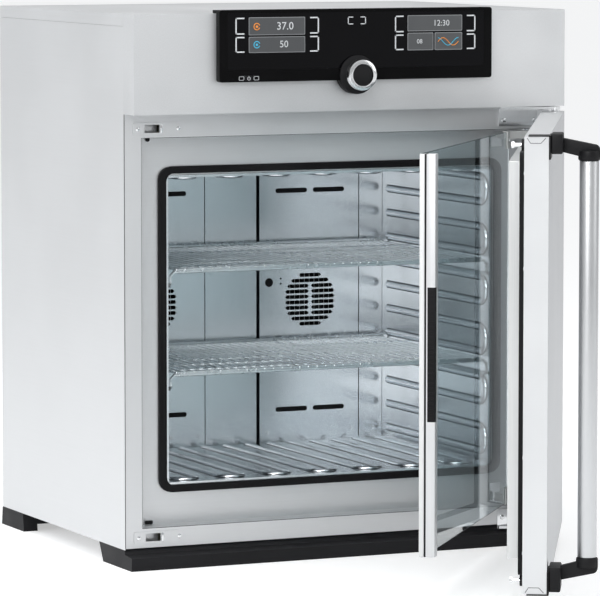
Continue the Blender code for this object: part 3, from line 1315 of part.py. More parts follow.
def make_clamp(name, edge, up):
    left = GLASS_HALF - CLAMP_WIDTH
    inner = edge - up * CLAMP_HEIGHT
    outer = edge + up * CLAMP_COVER
    low = min(inner, outer)
    high = max(inner, outer)
    block = box(name, (left, CHANNEL_FRONT - CLAMP_FACE, low), (GLASS_HALF + CLAMP_WALL, CHANNEL_BACK,
        high))
    arm_inner = edge - up * CLAMP_ARM_HEIGHT
    plan = [
        (GLASS_HALF - CLAMP_ARM_ROOT, CHANNEL_FRONT - CLAMP_FACE / 2),
        (GLASS_AXIS_X - CLAMP_ARM_SHOULDER, GLASS_AXIS_Y - GLASS_ARM_HALF * 0.7),
        (GLASS_AXIS_X, GLASS_AXIS_Y - GLASS_ARM_HALF),
        (GLASS_AXIS_X + CLAMP_ARM_SHOULDER, GLASS_AXIS_Y - GLASS_ARM_HALF / 2),
        (GLASS_AXIS_X + GLASS_ARM_HALF, GLASS_AXIS_Y),
        (GLASS_AXIS_X + GLASS_ARM_HALF * 0.8, GLASS_AXIS_Y + CLAMP_ARM_SHOULDER),
        (GLASS_HALF + CLAMP_WALL - GAP, CHANNEL_BACK - GAP), (GLASS_HALF - CLAMP_ARM_ROOT,
         CHANNEL_BACK - GAP)]
    arm = plate(
        "clamp arm", [plan], "Z", min(arm_inner, outer - up * GAP), max(arm_inner, outer - up * GAP))
    slot = box(
        "pane slot", (left - OVERSHOOT, GLASS_FRONT - GAP, min(inner - up * OVERSHOOT, edge + up * GAP)),
        (GLASS_HALF + GAP, GLASS_BACK + GAP, max(inner - up * OVERSHOOT, edge + up * GAP)))
    bore = rod(
        "clamp bore", CLAMP_PIN_RADIUS + RUN, (GLASS_AXIS_X, GLASS_AXIS_Y, edge - up * CLAMP_BORE_REACH),
        (GLASS_AXIS_X, GLASS_AXIS_Y, edge + up * (CLAMP_COVER + OVERSHOOT)), 12)
    return paint(cut(join(block, arm), slot, bore), PALE_PLASTIC)


def make_glass_hinge(name, edge, recess_edge, up):
    tongue_inner = edge + up * (CLAMP_COVER + GAP)
    tongue_outer = recess_edge - up * GAP
    wall = RECESS_HALF - GAP
    leg_end = edge - up * CLAMP_HEIGHT
    leg = box(
        name, (wall - GLASS_BRACKET, GLASS_BRACKET_FRONT, min(leg_end, tongue_outer)),
        (wall, GLASS_BRACKET_BACK, max(leg_end, tongue_outer)))
    outline = rounded(
        GLASS_AXIS_X - GLASS_TONGUE_HALF, wall - GAP, GLASS_AXIS_Y - GLASS_TONGUE_HALF,
        GLASS_AXIS_Y + GLASS_TONGUE_BACK, GLASS_TONGUE_CORNER)
    tongue = plate(
        "hinge tongue", [outline], "Z", min(tongue_inner, tongue_outer - up * GAP), max(tongue_inner,
         tongue_outer - up * GAP))
    pin = rod(
        "glass hinge pin", CLAMP_PIN_RADIUS, (GLASS_AXIS_X, GLASS_AXIS_Y, edge - up * CLAMP_PIN_REACH),
        (GLASS_AXIS_X, GLASS_AXIS_Y, (tongue_inner + tongue_outer) / 2), 12)
    return paint(join(leg, tongue, pin), BRIGHT)


# Assembly: each moving body hangs on an empty that stands on its joint's axis.
def pivot(name, place):
    empty = bpy.data.objects.new(name, None)
    empty.location = place
    PARTS.objects.link(empty)
    bpy.context.view_layer.update()
    return empty


def attach(carrier, *objects):
    for obj in objects:
        obj.parent = carrier
        obj.matrix_parent_inverse = carrier.matrix_world.inverted()
        for modifier in obj.modifiers:
            if modifier.type == "BOOLEAN":
                attach(carrier, modifier.object)


def build_casing():
    make_side_panel("side_panel_left", -1)
    make_side_panel("side_panel_right", 1)
    make_top_cover()
    make_rear_panel()
    make_base_pan()
    make_front_frame()
    make_striker("striker_plate_upper", LATCH_UPPER_Z)
    make_striker("striker_plate_lower", LATCH_LOWER_Z)
    make_front_foot("front_foot_left", -HALF, -FOOT_FROM)
    make_front_foot("front_foot_right", FOOT_FROM, HALF)
    make_front_foot("front_plinth", -FOOT_FROM + GAP, FOOT_FROM - GAP)
    make_rear_rail()


def build_chamber():
    make_liner_side("liner_side_left", -1)
    make_liner_side("liner_side_right", 1)
    make_liner_level("liner_floor", CHAMBER_BOTTOM, 1)
    make_liner_level("liner_ceiling", CHAMBER_TOP, -1)
    make_liner_back()
    make_chamber_gasket()
    make_insulation()
    wall = CHAMBER_HALF - PANEL_SIDE_GAP
    make_fan_panel("fan_panel_left", -wall, PANEL_SEAM_X - PANEL_SEAM / 2, -FAN_X)
    right = make_fan_panel("fan_panel_right", PANEL_SEAM_X + PANEL_SEAM / 2, wall, FAN_X)
    cut(right, rod(
        "sensor hole", SENSOR_RADIUS + GAP, (SENSOR_X, CHAMBER_BACK - OVERSHOOT, SENSOR_Z),
        (SENSOR_X, CHAMBER_BACK + SHEET + OVERSHOOT, SENSOR_Z)))
    make_sensor_plug()
    for name, side in (("circulation_impeller_left", -1), ("circulation_impeller_right", 1)):
        place = (side * FAN_X, WHEEL_Y, FAN_Z)
        attach(pivot(name + "_axis", place), make_wheel(name, *place))
    for name, arm in zip(("shelf_upper", "shelf_lower"), SHELF_ARMS):
        shelf = make_shelf(name, arm)
        attach(pivot(name + "_slide", (0, SHELF_FRONT, CHAMBER_BOTTOM + RIB_FIRST + arm * RIB_PITCH)),
            shelf)


def build_cooling_unit():
    make_peltier_stack()
    make_heat_sink()
    make_cooler_cover()
    make_mains_inlet()
    for name, side in (("cooler_impeller_left", -1), ("cooler_impeller_right", 1)):
        place = (side * COOLER_FAN_X, COOLER_WHEEL_Y, COOLER_FAN_Z)
        attach(pivot(name + "_axis", place), make_wheel(name, *place))


def build_control_unit():
    make_fascia()
    make_bezel()
    make_window_glass()
    make_board()
    make_knob_base()
    push = pivot("knob_push", (KNOB_X, DISC_FRONT, KNOB_Z))
    turn = pivot("knob_turn", (KNOB_X, RING_BACK, KNOB_Z))
    attach(push, make_knob_shaft(), turn)
    bpy.context.view_layer.update()
    attach(turn, make_knob_ring(), make_knob_cap())
    attach(pivot("key_push", (KEY_X, BEZEL_FRONT, KEY_Z)), make_power_key())


def build_main_door():
    upper_low = DOOR_GASKET_TOP + HINGE_LEG_SPACE
    make_hinge_bracket(
        "hinge_bracket_upper", upper_low, upper_low + HINGE_LEG_HEIGHT,
        upper_low + HINGE_LEG_HEIGHT - GAP, DOOR_TOP, 1)
    lower_high = DOOR_GASKET_BOTTOM - HINGE_LEG_SPACE
    lower_low = FOOT_LIP_HEIGHT + LOWER_ARM_LIFT
    make_hinge_bracket("hinge_bracket_lower", lower_low, lower_high, lower_low + GAP, DOOR_BOTTOM, -1)
    door = pivot("main_door_axis", (DOOR_AXIS_X, DOOR_AXIS_Y, (DOOR_BOTTOM + DOOR_TOP) / 2))
    upper_arm = LATCH_UPPER_Z + UPPER_ARM_RISE
    lower_arm = LATCH_LOWER_Z + LOWER_ARM_RISE
    attach(
        door, make_door_shell(), make_door_pan(), make_door_gasket(),
        make_latch_block(
            "latch_block_upper", LATCH_UPPER_Z, LATCH_UPPER_Z - LATCH_BLOCK_HEEL,
            LATCH_UPPER_Z + LATCH_BLOCK_UPPER,
            upper_arm),
        make_latch_block(
            "latch_block_lower", LATCH_LOWER_Z, LATCH_LOWER_Z - LATCH_BLOCK_TOE,
            LATCH_LOWER_Z + LATCH_BLOCK_LOWER,
            lower_arm))
    handle = pivot("handle_axis", (HANDLE_X, HANDLE_PIVOT_Y, (HANDLE_BOTTOM + HANDLE_TOP) / 2))
    latch = pivot("latch_axis", (LATCH_X, LATCH_PIVOT_Y, (LATCH_LOWER_Z + LATCH_UPPER_Z) / 2))
    attach(
        handle, make_handle_tube(), make_handle_arm("handle_arm_upper", HANDLE_TOP, 1, upper_arm),
        make_handle_arm("handle_arm_lower", HANDLE_BOTTOM, -1, lower_arm))
    attach(latch, make_latch_pin("latch_pin_upper", LATCH_UPPER_Z), make_latch_pin("latch_pin_lower",
        LATCH_LOWER_Z))
    attach(door, handle, latch)
    door.rotation_euler.z = radians(DOOR_ANGLE)


def build_glass_door():
    make_glass_hinge("glass_hinge_upper", GLASS_TOP, RECESS_TOP, 1)
    make_glass_hinge("glass_hinge_lower", GLASS_BOTTOM, RECESS_BOTTOM, -1)
    glass = pivot("glass_door_axis", (GLASS_AXIS_X, GLASS_AXIS_Y, (GLASS_BOTTOM + GLASS_TOP) / 2))
    attach(
        glass, make_glass_pane(), make_edge_profile(), make_grip(), make_clamp("glass_clamp_upper",
            GLASS_TOP, 1),
        make_clamp("glass_clamp_lower", GLASS_BOTTOM, -1))
    glass.rotation_euler.z = radians(GLASS_ANGLE)


build_casing()
build_chamber()
build_cooling_unit()
build_control_unit()
build_main_door()
build_glass_door()
bpy.context.view_layer.update()
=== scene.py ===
import bpy
import bmesh
import json
from math import cos, pi, radians, sin, sqrt
from mathutils import Matrix, Vector

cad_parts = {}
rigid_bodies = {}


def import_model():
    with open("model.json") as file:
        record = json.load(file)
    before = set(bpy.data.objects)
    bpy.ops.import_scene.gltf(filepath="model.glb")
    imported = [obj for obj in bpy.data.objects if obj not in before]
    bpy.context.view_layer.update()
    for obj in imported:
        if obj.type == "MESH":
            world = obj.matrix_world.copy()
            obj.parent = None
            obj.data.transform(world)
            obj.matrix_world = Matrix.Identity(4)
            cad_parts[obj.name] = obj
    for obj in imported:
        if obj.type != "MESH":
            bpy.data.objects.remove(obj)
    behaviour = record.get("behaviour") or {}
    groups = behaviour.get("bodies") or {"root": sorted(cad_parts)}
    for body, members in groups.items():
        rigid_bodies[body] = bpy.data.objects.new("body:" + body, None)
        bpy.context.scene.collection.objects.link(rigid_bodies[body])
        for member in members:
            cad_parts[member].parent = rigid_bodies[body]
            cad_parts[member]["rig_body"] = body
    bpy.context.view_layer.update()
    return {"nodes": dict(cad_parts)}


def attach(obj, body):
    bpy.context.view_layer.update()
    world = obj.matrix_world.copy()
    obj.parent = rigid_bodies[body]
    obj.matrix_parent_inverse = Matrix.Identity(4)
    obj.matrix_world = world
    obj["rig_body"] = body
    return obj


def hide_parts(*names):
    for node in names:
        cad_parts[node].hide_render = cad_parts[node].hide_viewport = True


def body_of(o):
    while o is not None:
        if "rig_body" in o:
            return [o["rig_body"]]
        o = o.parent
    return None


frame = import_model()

nodes = frame["nodes"]
print("frame loaded:", len(nodes), "nodes")


# Stage: camera, floor, lamps and sky.
stageSettings = {
    "lens": 262.7,
    "cameraPlace": (-2.9110, -6.2618, 1.0559),
    "cameraTurn": (84.66, 0.0, -24.38),
    "floorSize": 240.0,
    "floorColour": (0.70, 0.705, 0.71, 1.0),
    "floorShade": 0.98,
    "skyHigh": (0.98, 0.99, 1.0, 1.0),
    "skyLow": (0.60, 0.61, 0.62, 1.0),
    "skyStrength": 0.66,
    "floorGlow": 0.46,
}


def makeCamera():
    data = bpy.data.cameras.new("camera")
    data.lens = stageSettings["lens"]
    data.sensor_width = 36.0
    data.clip_end = 400.0
    camera = bpy.data.objects.new("camera", data)
    camera.location = stageSettings["cameraPlace"]
    camera.rotation_euler = [radians(turn) for turn in stageSettings["cameraTurn"]]
    bpy.context.scene.collection.objects.link(camera)
    bpy.context.scene.camera = camera


def addNode(tree, kind, inputs=None, **values):
    made = tree.nodes.new(kind)
    for key, value in values.items():
        setattr(made, key, value)
    for key, value in (inputs or {}).items():
        if isinstance(value, bpy.types.NodeSocket):
            tree.links.new(value, made.inputs[key])
        else:
            made.inputs[key].default_value = value
    return made


def makeFloor():
    bm = bmesh.new()
    bmesh.ops.create_grid(bm, x_segments=1, y_segments=1, size=stageSettings["floorSize"] / 2)
    mesh = bpy.data.meshes.new("floor")
    bm.to_mesh(mesh)
    bm.free()
    floor = bpy.data.objects.new("floor", mesh)
    bpy.context.scene.collection.objects.link(floor)
    finish = bpy.data.materials.new("pale floor")
    finish.use_nodes = True
    tree = finish.node_tree
    shader = tree.nodes["Principled BSDF"]
    shader.inputs["Roughness"].default_value = 0.9
    shader.inputs["Specular IOR Level"].default_value = 0.1
    cloud = addNode(tree, "ShaderNodeTexNoise", {"Scale": 0.8, "Detail": 2.0})
    where = addNode(tree, "ShaderNodeTexCoord")
    tree.links.new(where.outputs["Object"], cloud.inputs["Vector"])
    base = stageSettings["floorColour"]
    shade = [value * stageSettings["floorShade"] for value in base[:3]]
    tone = addNode(tree, "ShaderNodeMix", {
        "Factor": cloud.outputs["Fac"], "A": base, "B": (*shade, 1.0)}, data_type="RGBA")
    tree.links.new(tone.outputs["Result"], shader.inputs["Base Color"])
    # the lens, metal and glass see the floor nearly white, and the shadow on it stays
    path = addNode(tree, "ShaderNodeLightPath")
    seen = addNode(tree, "ShaderNodeMath", {
        0: path.outputs["Is Camera Ray"], 1: path.outputs["Is Glossy Ray"]}, operation="MAXIMUM")
    through = addNode(tree, "ShaderNodeMath", {
        0: seen.outputs[0], 1: path.outputs["Is Transmission Ray"]}, operation="MAXIMUM")
    glow = addNode(tree, "ShaderNodeMath", {
        0: through.outputs[0], 1: stageSettings["floorGlow"]}, operation="MULTIPLY")
    shader.inputs["Emission Color"].default_value = (1.0, 1.0, 1.0, 1.0)
    tree.links.new(glow.outputs[0], shader.inputs["Emission Strength"])
    mesh.materials.append(finish)


def makeLamp(name, place, target, size, power, colour=(1.0, 1.0, 1.0)):
    data = bpy.data.lights.new(name, "AREA")
    data.shape = "RECTANGLE"
    data.size, data.size_y = size
    data.energy = power
    data.color = colour
    lamp = bpy.data.objects.new(name, data)
    lamp.location = place
    aim = Vector(target) - Vector(place)
    lamp.rotation_euler = aim.to_track_quat("-Z", "Y").to_euler()
    lamp.visible_camera = False
    bpy.context.scene.collection.objects.link(lamp)


def makeSky():
    world = bpy.data.worlds.new("studio")
    bpy.context.scene.world = world
    world.use_nodes = True
    tree = world.node_tree
    where = addNode(tree, "ShaderNodeTexCoord")
    split = addNode(tree, "ShaderNodeSeparateXYZ", {"Vector": where.outputs["Generated"]})
    rise = addNode(tree, "ShaderNodeMapRange", {
        "Value": split.outputs["Z"], "From Min": -0.05, "From Max": 0.55, "To Min": 0.0, "To Max": 1.0},
        interpolation_type="SMOOTHSTEP")
    tone = addNode(tree, "ShaderNodeMix", {
        "Factor": rise.outputs["Result"], "A": stageSettings["skyLow"], "B": stageSettings["skyHigh"]},
        data_type="RGBA")
    # the lens sees plain white where the floor ends
    path = addNode(tree, "ShaderNodeLightPath")
    shown = addNode(tree, "ShaderNodeMix", {
        "Factor": path.outputs["Is Camera Ray"], "A": tone.outputs["Result"], "B": (1.0, 1.0, 1.0, 1.0)},
        data_type="RGBA")
    power = addNode(tree, "ShaderNodeMapRange", {
        "Value": path.outputs["Is Camera Ray"], "To Min": stageSettings["skyStrength"], "To Max": 1.0})
    sky = tree.nodes["Background"]
    tree.links.new(shown.outputs["Result"], sky.inputs["Color"])
    tree.links.new(power.outputs["Result"], sky.inputs["Strength"])


lampSettings = {
    "top softbox": {
        "place": (-0.6, -0.6, 3.4), "target": (0.0, 0.1, 0.4), "size": (3.0, 3.0), "power": 62.0},
    "front left softbox": {
        "place": (-3.0, -3.6, 2.5), "target": (0.0, -0.2, 0.4), "size": (2.4, 2.2), "power": 84.0},
    "back left softbox": {
        "place": (-2.8, 2.2, 2.4), "target": (-0.3, 0.2, 0.8), "size": (2.8, 1.6), "power": 44.0,
        "colour": (0.97, 0.985, 1.0)},
    "front right softbox": {
        "place": (3.2, -3.0, 2.0), "target": (0.1, -0.2, 0.5), "size": (2.0, 2.0), "power": 20.0},
}

makeCamera()
makeFloor()
makeSky()
for lampName, lampValues in lampSettings.items():
    makeLamp(lampName, **lampValues)
bpy.context.scene.view_settings.view_transform = "Standard"
print("stage ready")


# Finishes, from three shared shader groups.
def newGroup(name, inputs, outputs):
    group = bpy.data.node_groups.new(name, "ShaderNodeTree")
    for label, kind, value in inputs:
        made = group.interface.new_socket(name=label, in_out="INPUT", socket_type=kind)
        made.default_value = value
    for label, kind in outputs:
        group.interface.new_socket(name=label, in_out="OUTPUT", socket_type=kind)
    return group, addNode(group, "NodeGroupInput"), addNode(group, "NodeGroupOutput")


def makeGrainGroup():
    # fine tone drawn out along one direction, from each piece's own place
    group, given, result = newGroup(
        "drawn grain", [("Stretch", "NodeSocketVector", (1.0, 1.0, 1.0))], [("Tone", "NodeSocketFloat")])
    where = addNode(group, "ShaderNodeTexCoord")
    drawn = addNode(group, "ShaderNodeVectorMath", {
        0: where.outputs["Object"], 1: given.outputs["Stretch"]}, operation="MULTIPLY")
    noise = addNode(group, "ShaderNodeTexNoise", {
        "Vector": drawn.outputs["Vector"], "Scale": 1.0, "Detail": 4.0, "Roughness": 0.62})
    spread = addNode(group, "ShaderNodeMapRange", {
        "Value": noise.outputs["Fac"], "From Min": 0.30, "From Max": 0.70})
    group.links.new(spread.outputs["Result"], result.inputs["Tone"])
    return group


def makeCloudGroup():
    # slow changes of tone: handling marks, uneven polish, dust
    group, given, result = newGroup(
        "slow cloud", [("Size", "NodeSocketFloat", 0.2)], [("Tone", "NodeSocketFloat")])
    where = addNode(group, "ShaderNodeTexCoord")
    scale = addNode(group, "ShaderNodeMath", {0: 1.0, 1: given.outputs["Size"]}, operation="DIVIDE")
    noise = addNode(group, "ShaderNodeTexNoise", {
        "Vector": where.outputs["Object"], "Scale": scale.outputs[0], "Detail": 2.5, "Roughness": 0.5})
    spread = addNode(group, "ShaderNodeMapRange", {
        "Value": noise.outputs["Fac"], "From Min": 0.34, "From Max": 0.66}, interpolation_type="SMOOTHSTEP")
    group.links.new(spread.outputs["Result"], result.inputs["Tone"])
    return group


def makePebbleGroup():
    # moulded texture of a plastic or rubber skin
    group, given, result = newGroup(
        "moulded pebble", [("Size", "NodeSocketFloat", 0.001)],
        [("Height", "NodeSocketFloat"), ("Tone", "NodeSocketFloat")])
    where = addNode(group, "ShaderNodeTexCoord")
    scale = addNode(group, "ShaderNodeMath", {0: 1.0, 1: given.outputs["Size"]}, operation="DIVIDE")
    cells = addNode(group, "ShaderNodeTexVoronoi", {
        "Vector": where.outputs["Object"], "Scale": scale.outputs[0]}, feature="SMOOTH_F1")
    noise = addNode(group, "ShaderNodeTexNoise", {
        "Vector": where.outputs["Object"], "Scale": scale.outputs[0], "Detail": 2.0})
    both = addNode(group, "ShaderNodeMath", {
        0: cells.outputs["Distance"], 1: noise.outputs["Fac"]}, operation="ADD")
    group.links.new(both.outputs[0], result.inputs["Height"])
    group.links.new(noise.outputs["Fac"], result.inputs["Tone"])
    return group


grainGroup = makeGrainGroup()
cloudGroup = makeCloudGroup()
pebbleGroup = makePebbleGroup()


def startFinish(name):
    finish = bpy.data.materials.new(name)
    finish.use_nodes = True
    return finish, finish.node_tree, finish.node_tree.nodes["Principled BSDF"]


def useGroup(tree, group, inputs):
    made = tree.nodes.new("ShaderNodeGroup")
    made.node_tree = group
    for key, value in inputs.items():
        made.inputs[key].default_value = value
    return made


def mixTones(tree, factor, low, high):
    return addNode(tree, "ShaderNodeMix", {
        "Factor": factor, "A": (*low, 1.0), "B": (*high, 1.0)}, data_type="RGBA").outputs["Result"]


def metalFinish(name, low, high, roughness, stretch, relief, cloud=0.22, metallic=1.0):
    finish, tree, shader = startFinish(name)
    grain = useGroup(tree, grainGroup, {"Stretch": stretch})
    slow = useGroup(tree, cloudGroup, {"Size": cloud})
    blend = addNode(tree, "ShaderNodeMix", {
        "Factor": 0.45, "A": slow.outputs["Tone"], "B": grain.outputs["Tone"]}, data_type="FLOAT")
    tree.links.new(mixTones(tree, blend.outputs["Result"], low, high), shader.inputs["Base Color"])
    rough = addNode(tree, "ShaderNodeMapRange", {
        "Value": blend.outputs["Result"], "To Min": roughness[0], "To Max": roughness[1]})
    tree.links.new(rough.outputs["Result"], shader.inputs["Roughness"])
    bump = addNode(tree, "ShaderNodeBump", {
        "Strength": relief, "Distance": 0.0002, "Height": grain.outputs["Tone"]})
    tree.links.new(bump.outputs["Normal"], shader.inputs["Normal"])
    shader.inputs["Metallic"].default_value = metallic
    return finish


def skinFinish(name, low, high, roughness, pebble, relief, cloud=0.12, shine=0.5):
    finish, tree, shader = startFinish(name)
    skin = useGroup(tree, pebbleGroup, {"Size": pebble})
    slow = useGroup(tree, cloudGroup, {"Size": cloud})
    blend = addNode(tree, "ShaderNodeMix", {
        "Factor": 0.35, "A": slow.outputs["Tone"], "B": skin.outputs["Tone"]}, data_type="FLOAT")
    tree.links.new(mixTones(tree, blend.outputs["Result"], low, high), shader.inputs["Base Color"])
    rough = addNode(tree, "ShaderNodeMapRange", {
        "Value": slow.outputs["Tone"], "To Min": roughness[0], "To Max": roughness[1]})
    tree.links.new(rough.outputs["Result"], shader.inputs["Roughness"])
    bump = addNode(tree, "ShaderNodeBump", {
        "Strength": relief, "Distance": 0.00015, "Height": skin.outputs["Height"]})
    tree.links.new(bump.outputs["Normal"], shader.inputs["Normal"])
    shader.inputs["Specular IOR Level"].default_value = shine
    return finish


def glassFinish(name, low, high):
    finish, tree, shader = startFinish(name)
    slow = useGroup(tree, cloudGroup, {"Size": 0.15})
    tree.links.new(mixTones(tree, slow.outputs["Tone"], low, high), shader.inputs["Base Color"])
    rough = addNode(tree, "ShaderNodeMapRange", {
        "Value": slow.outputs["Tone"], "To Min": 0.0, "To Max": 0.003})
    tree.links.new(rough.outputs["Result"], shader.inputs["Roughness"])
    shader.inputs["Transmission Weight"].default_value = 1.0
    shader.inputs["IOR"].default_value = 1.45
    return finish


finishes = {
    "casing": metalFinish(
        "brushed casing steel", (0.65, 0.66, 0.67), (0.70, 0.71, 0.72),
        roughness=(0.32, 0.42), stretch=(6.0, 6.0, 900.0), relief=0.08, metallic=0.70),
    "linen": metalFinish(
        "linen fascia steel", (0.58, 0.59, 0.60), (0.72, 0.73, 0.74),
        roughness=(0.32, 0.44), stretch=(900.0, 900.0, 420.0), relief=0.30, metallic=0.75),
    "liner": metalFinish(
        "chamber liner steel", (0.74, 0.77, 0.795), (0.79, 0.82, 0.845),
        roughness=(0.19, 0.26), stretch=(60.0, 60.0, 9.0), relief=0.01),
    "galvanised": metalFinish(
        "galvanised sheet", (0.38, 0.39, 0.40), (0.52, 0.53, 0.54),
        roughness=(0.38, 0.52), stretch=(90.0, 90.0, 90.0), relief=0.10, cloud=0.04),
    "bright": metalFinish(
        "bright steel", (0.74, 0.75, 0.76), (0.84, 0.85, 0.86),
        roughness=(0.12, 0.20), stretch=(400.0, 400.0, 400.0), relief=0.04, cloud=0.05),
    "aluminium": metalFinish(
        "pale aluminium", (0.62, 0.63, 0.64), (0.72, 0.73, 0.74),
        roughness=(0.34, 0.46), stretch=(700.0, 700.0, 20.0), relief=0.12),
    "plastic": skinFinish(
        "black plastic", (0.006, 0.006, 0.007), (0.012, 0.012, 0.013),
        roughness=(0.40, 0.52), pebble=0.0007, relief=0.35, shine=0.18),
    "bezel": skinFinish(
        "panel black", (0.002, 0.002, 0.0022), (0.004, 0.004, 0.0044),
        roughness=(0.34, 0.44), pebble=0.0009, relief=0.10, shine=0.06),
    "foot": skinFinish(
        "foot plastic", (0.008, 0.008, 0.009), (0.016, 0.016, 0.018),
        roughness=(0.45, 0.60), pebble=0.0010, relief=0.45, shine=0.18),
    "rubber": skinFinish(
        "gasket rubber", (0.005, 0.005, 0.006), (0.011, 0.011, 0.012),
        roughness=(0.50, 0.66), pebble=0.0009, relief=0.30, shine=0.15),
    "pale": skinFinish(
        "pale plastic", (0.68, 0.69, 0.68), (0.78, 0.79, 0.78),
        roughness=(0.38, 0.50), pebble=0.0008, relief=0.15),
    "pan": metalFinish(
        "pale door pan", (0.62, 0.63, 0.63), (0.72, 0.73, 0.73),
        roughness=(0.32, 0.42), stretch=(500.0, 500.0, 8.0), relief=0.08),
    "display": skinFinish(
        "display glass", (0.0015, 0.0015, 0.002), (0.003, 0.003, 0.004),
        roughness=(0.05, 0.09), pebble=0.05, relief=0.02, cloud=0.3, shine=0.10),
    "glass": glassFinish("door glass", (0.80, 0.895, 0.925), (0.83, 0.915, 0.94)),
    "foam": skinFinish(
        "insulation foam", (0.62, 0.55, 0.36), (0.76, 0.68, 0.46),
        roughness=(0.85, 0.95), pebble=0.004, relief=0.80),
    "rib": metalFinish(
        "pressed rib steel", (0.74, 0.77, 0.80), (0.80, 0.83, 0.86),
        roughness=(0.12, 0.17), stretch=(60.0, 9.0, 60.0), relief=0.01),
    "tile": skinFinish(
        "display tile", (0.075, 0.078, 0.082), (0.090, 0.094, 0.098),
        roughness=(0.30, 0.36), pebble=0.02, relief=0.02, cloud=0.3, shine=0.3),
    "ink": skinFinish(
        "pale print", (0.62, 0.64, 0.66), (0.72, 0.74, 0.76),
        roughness=(0.40, 0.50), pebble=0.001, relief=0.02),
    "orange": skinFinish(
        "orange mark", (0.80, 0.26, 0.03), (0.88, 0.32, 0.05),
        roughness=(0.40, 0.50), pebble=0.001, relief=0.02),
    "cyan": skinFinish(
        "cyan mark", (0.05, 0.42, 0.62), (0.08, 0.48, 0.68),
        roughness=(0.40, 0.50), pebble=0.001, relief=0.02),
    # dark joints and seams, and also painted shade: the plates behind the duct slots and the sensor hole
    # discs
    "shadow": skinFinish(
        "dark joint and painted shade", (0.012, 0.013, 0.014), (0.022, 0.023, 0.024),
        roughness=(0.60, 0.75), pebble=0.001, relief=0.05, shine=0.1),
    "rail": metalFinish(
        "grey door rail", (0.66, 0.67, 0.68), (0.71, 0.72, 0.73),
        roughness=(0.34, 0.44), stretch=(300.0, 300.0, 12.0), relief=0.06, metallic=0.3),
    # painted shade: a dark copy of the rib steel, for the shade in the creases round the ribs
    "creaseShade": metalFinish(
        "painted crease shade steel", (0.10, 0.115, 0.13), (0.14, 0.155, 0.17),
        roughness=(0.28, 0.36), stretch=(60.0, 9.0, 60.0), relief=0.01),
    # painted shade: the chamber's back wall made dark for the shade inside the fan chamber
    "chamberBackShade": metalFinish(
        "chamber back steel, painted shade", (0.05, 0.055, 0.06), (0.08, 0.085, 0.09),
        roughness=(0.45, 0.55), stretch=(60.0, 60.0, 9.0), relief=0.02),
    "wire": metalFinish(
        "shelf wire steel", (0.64, 0.68, 0.70), (0.72, 0.76, 0.78),
        roughness=(0.24, 0.32), stretch=(90.0, 9.0, 90.0), relief=0.02),
    "tileRim": skinFinish(
        "display outline", (0.26, 0.27, 0.28), (0.30, 0.31, 0.32),
        roughness=(0.30, 0.36), pebble=0.02, relief=0.02, cloud=0.3, shine=0.3),
    "edge": skinFinish(
        "glass edge", (0.012, 0.040, 0.048), (0.020, 0.055, 0.064),
        roughness=(0.18, 0.26), pebble=0.004, relief=0.02),
    "tube": metalFinish(
        "handle tube steel", (0.52, 0.53, 0.54), (0.58, 0.59, 0.60),
        roughness=(0.34, 0.42), stretch=(300.0, 300.0, 40.0), relief=0.02),
    "channel": metalFinish(
        "white door channel", (0.76, 0.77, 0.77), (0.82, 0.83, 0.83),
        roughness=(0.34, 0.42), stretch=(300.0, 300.0, 12.0), relief=0.04, metallic=0.0),
    # partly painted shade: the door's face is the casing steel, made darker for a face turned away from the
    # lamps
    "skin": metalFinish(
        "main door skin, painted shade", (0.44, 0.45, 0.465), (0.50, 0.51, 0.525),
        roughness=(0.34, 0.46), stretch=(12.0, 700.0, 12.0), relief=0.10),
    "board": skinFinish(
        "circuit board", (0.012, 0.09, 0.035), (0.03, 0.15, 0.06),
        roughness=(0.35, 0.50), pebble=0.002, relief=0.20),
}

nodeFinish = {
    "casing": [
        "side_panel_left", "side_panel_right", "top_cover", "front_frame", "cooler_cover", "door_outer_shell",
        "striker_plate_upper", "striker_plate_lower"],
    "galvanised": ["rear_panel", "base_pan"],
    "bright": [
        "knob_shaft", "knob_ring",
        "hinge_bracket_upper", "hinge_bracket_lower", "latch_pin_upper", "latch_pin_lower", "handle_tube",
        "glass_hinge_upper", "glass_hinge_lower"],
    "plastic": [
        "sensor_plug", "circulation_impeller_left", "circulation_impeller_right", "cooler_impeller_left",
        "cooler_impeller_right", "mains_inlet", "knob_base", "knob_cap", "power_key",
        "latch_block_upper", "latch_block_lower", "handle_arm_upper", "handle_arm_lower"],
    "bezel": ["control_bezel"],
    "foot": ["front_foot_left", "front_foot_right", "front_plinth", "rear_foot_rail"],
    "liner": [
        "liner_side_left", "liner_side_right", "liner_floor", "liner_ceiling", "fan_panel_left",
        "fan_panel_right"],
    "rubber": ["chamber_gasket", "door_gasket", "glass_grip"],
    "wire": ["shelf_upper", "shelf_lower"],
    # the chamber's back wall carries painted shade
    "chamberBackShade": ["liner_back"],
    "foam": ["insulation"],
    "aluminium": ["peltier_stack", "rear_heat_sink"],
    "linen": ["control_fascia"],
    "display": ["control_glass"],
    "board": ["control_board"],
    "pan": ["door_inner_pan"],
    "glass": ["glass_pane"],
    "pale": ["glass_edge_profile", "glass_clamp_upper", "glass_clamp_lower"],
}
for finishName, names in nodeFinish.items():
    for name in names:
        nodes[name].data.materials.clear()
        nodes[name].data.materials.append(finishes[finishName])
print("finishes ready:", len(finishes))


# Shared tools for the pieces. Sizes are in millimetres until they reach a mesh.
mm = 0.001
toolSizes = {
    "mergeDistance": 0.000001, "sharpAngle": 38, "slabSteps": 5, "screwDome": 0.45, "screwSides": 20,
    "driveShare": 0.42, "driveProud": 0.25, "driveRound": 0.1, "driveSides": 6,
}
axisTurn = {"Y": Matrix.Rotation(pi / 2, 4, "X"), "Z": Matrix.Identity(4)}


